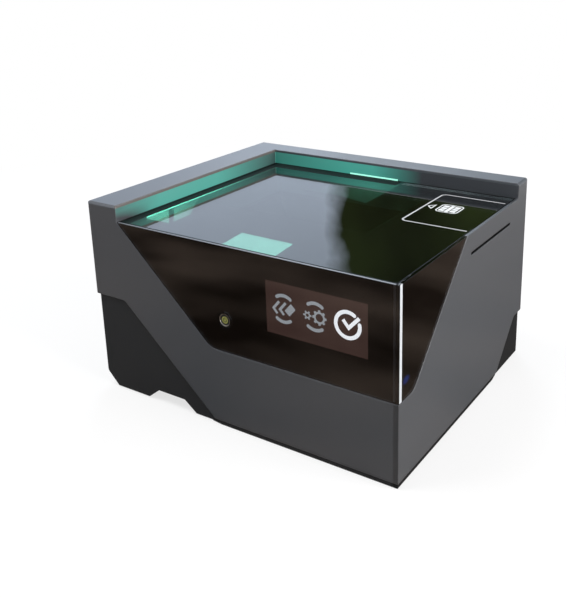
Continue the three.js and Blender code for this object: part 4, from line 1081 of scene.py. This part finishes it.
def card_finish(name, low, high, scale, stretch):
    material, tree, shader = new_material(name)
    tree.nodes.remove(shader)
    sizes = {"Stretch_" + axis: size for axis, size in zip("XYZ", stretch)}
    tone = use(tree, "card_clouds", Scale=scale, **sizes)["Tone"]
    card = add_node(tree, "Emission", {"Color": mixed(tree, tone, low, high), "Strength": 1.0})
    put_out(tree, card)
    return material, tree, card


# %% [markdown]
# One card lies round the machine and keeps its dark panes dark. The other stands behind it at the
# right and gives the scan glass its dark half, with a ragged edge instead of a ruled one.

# %% Cards that only reflections see
CARD, CARD_LIFT = (-1.2, -1.4, 1.2, 0.5), 0.4 * MM
SCREEN, SCREEN_DEPTH = (-0.74, 0.355, 1.5, 0.63), 0.96
EDGE_CLEAR, EDGE_DARK, RAGGED = -0.620, -0.560, 0.12
brown, _, _ = card_finish(
    "brown_card", (0.035, 0.025, 0.019), (0.34, 0.265, 0.215), 4.2, (1.5, 3.2, 1))
lying = [(x, y, CARD_LIFT) for x, y in box_outline(*CARD)]
stage_plane("floor_card", lying, brown, False)

green, tree, card = card_finish(
    "green_card", (0.018, 0.022, 0.010), (0.09, 0.13, 0.038), 6.0, (1, 1, 0.5))
x, _, _ = split_place(tree)
rough = add_node(tree, "TexNoise", {"Vector": object_place(tree), "Scale": 9.0, "Detail": 4.0})
shift = times(tree, maths(tree, "SUBTRACT", rough.outputs["Fac"], 0.5), RAGGED)
edge = ranged(tree, maths(tree, "ADD", x, shift), EDGE_CLEAR, EDGE_DARK)
clear = add_node(tree, "BsdfTransparent")
soft = add_node(tree, "MixShader", {0: edge, 1: clear.outputs[0], 2: card.outputs[0]})
put_out(tree, soft)
standing = [(x, SCREEN_DEPTH, z) for x, z in box_outline(*SCREEN)]
stage_plane("dark_screen", standing, green, False)

# %% [markdown]
# ## Light
# The room gives an even soft light, white to the camera and a cool pale blue in reflections. That
# sky has faint clouds and dims above a certain height. The room is so even that it isn't sampled as
# a lamp of its own.

# %% World
AMBIENT = 0.42
DIM_STARTS, DIM_ENDS = 0.39, 0.50
BRIGHT_SKY, DIM_SKY = 1.03, 0.6
world = bpy.data.worlds.new("studio_room")
bpy.context.scene.world = world
world.cycles.sampling_method = "NONE"
world.use_nodes = True
tree = world.node_tree
ambient = tree.nodes["Background"]
ambient.inputs["Color"].default_value = (0.97, 0.98, 1.0, 1)
ambient.inputs["Strength"].default_value = AMBIENT
rays = add_node(tree, "LightPath").outputs
direction = add_node(tree, "TexCoord").outputs["Generated"]
height = add_node(tree, "SeparateXYZ", {"Vector": direction}).outputs[2]
clouds = add_node(tree, "TexNoise", {"Vector": direction, "Scale": 3.0, "Detail": 3.0})
cloudy = ranged(tree, clouds.outputs["Fac"], 0.35, 0.65, 0.92, 1.0)
dimmed = times(tree, ranged(tree, height, DIM_STARTS, DIM_ENDS, BRIGHT_SKY, DIM_SKY), cloudy)
sky = add_node(tree, "Background", {"Color": (0.69, 0.79, 0.96, 1), "Strength": dimmed})
clean = add_node(tree, "Background", {"Color": (1, 1, 1, 1), "Strength": 1.0})
mirrored = either(tree, rays["Is Glossy Ray"], rays["Is Transmission Ray"])
first = add_node(tree, "MixShader", {0: mirrored, 1: ambient.outputs[0], 2: sky.outputs[0]})
second = add_node(tree, "MixShader", {
    0: rays["Is Camera Ray"], 1: first.outputs[0], 2: clean.outputs[0]})
tree.links.new(second.outputs[0], tree.nodes["World Output"].inputs[0])
print("ambient strength:", AMBIENT)

# %% [markdown]
# A broad lamp at the right makes the right wall the brightest, as in the photograph, a weaker one
# overhead fills the top, and a bluish one behind lifts the rim. All three aim at the machine's
# middle. Rays that come out of glass don't see the lamps, or their square outlines would show in
# the panes' corners.

# %% Lamps
AIM = Vector((0, 0, 0.05))
for name, place, size, power, tint in (
    ("right_lamp", (1.2, 0.1, 0.36), 0.9, 26.5, (1.0, 0.985, 0.97)),
    ("top_lamp", (-0.50, -0.35, 1.15), 0.6, 9.0, (1.0, 1.0, 1.0)),
    ("back_lamp", (-0.62, 1.02, 1.0), 0.55, 6.0, (0.80, 0.89, 1.0)),
):
    lamp = bpy.data.lights.new(name, "AREA")
    lamp.size = size
    lamp.energy = power
    lamp.color = tint
    holder = add_object(name, lamp)
    holder.location = place
    holder.rotation_euler = (AIM - holder.location).to_track_quat("-Z", "Y").to_euler()
    holder.visible_transmission = False
    print(name, "watts:", power)

# %% End of the scene
print("scene built")
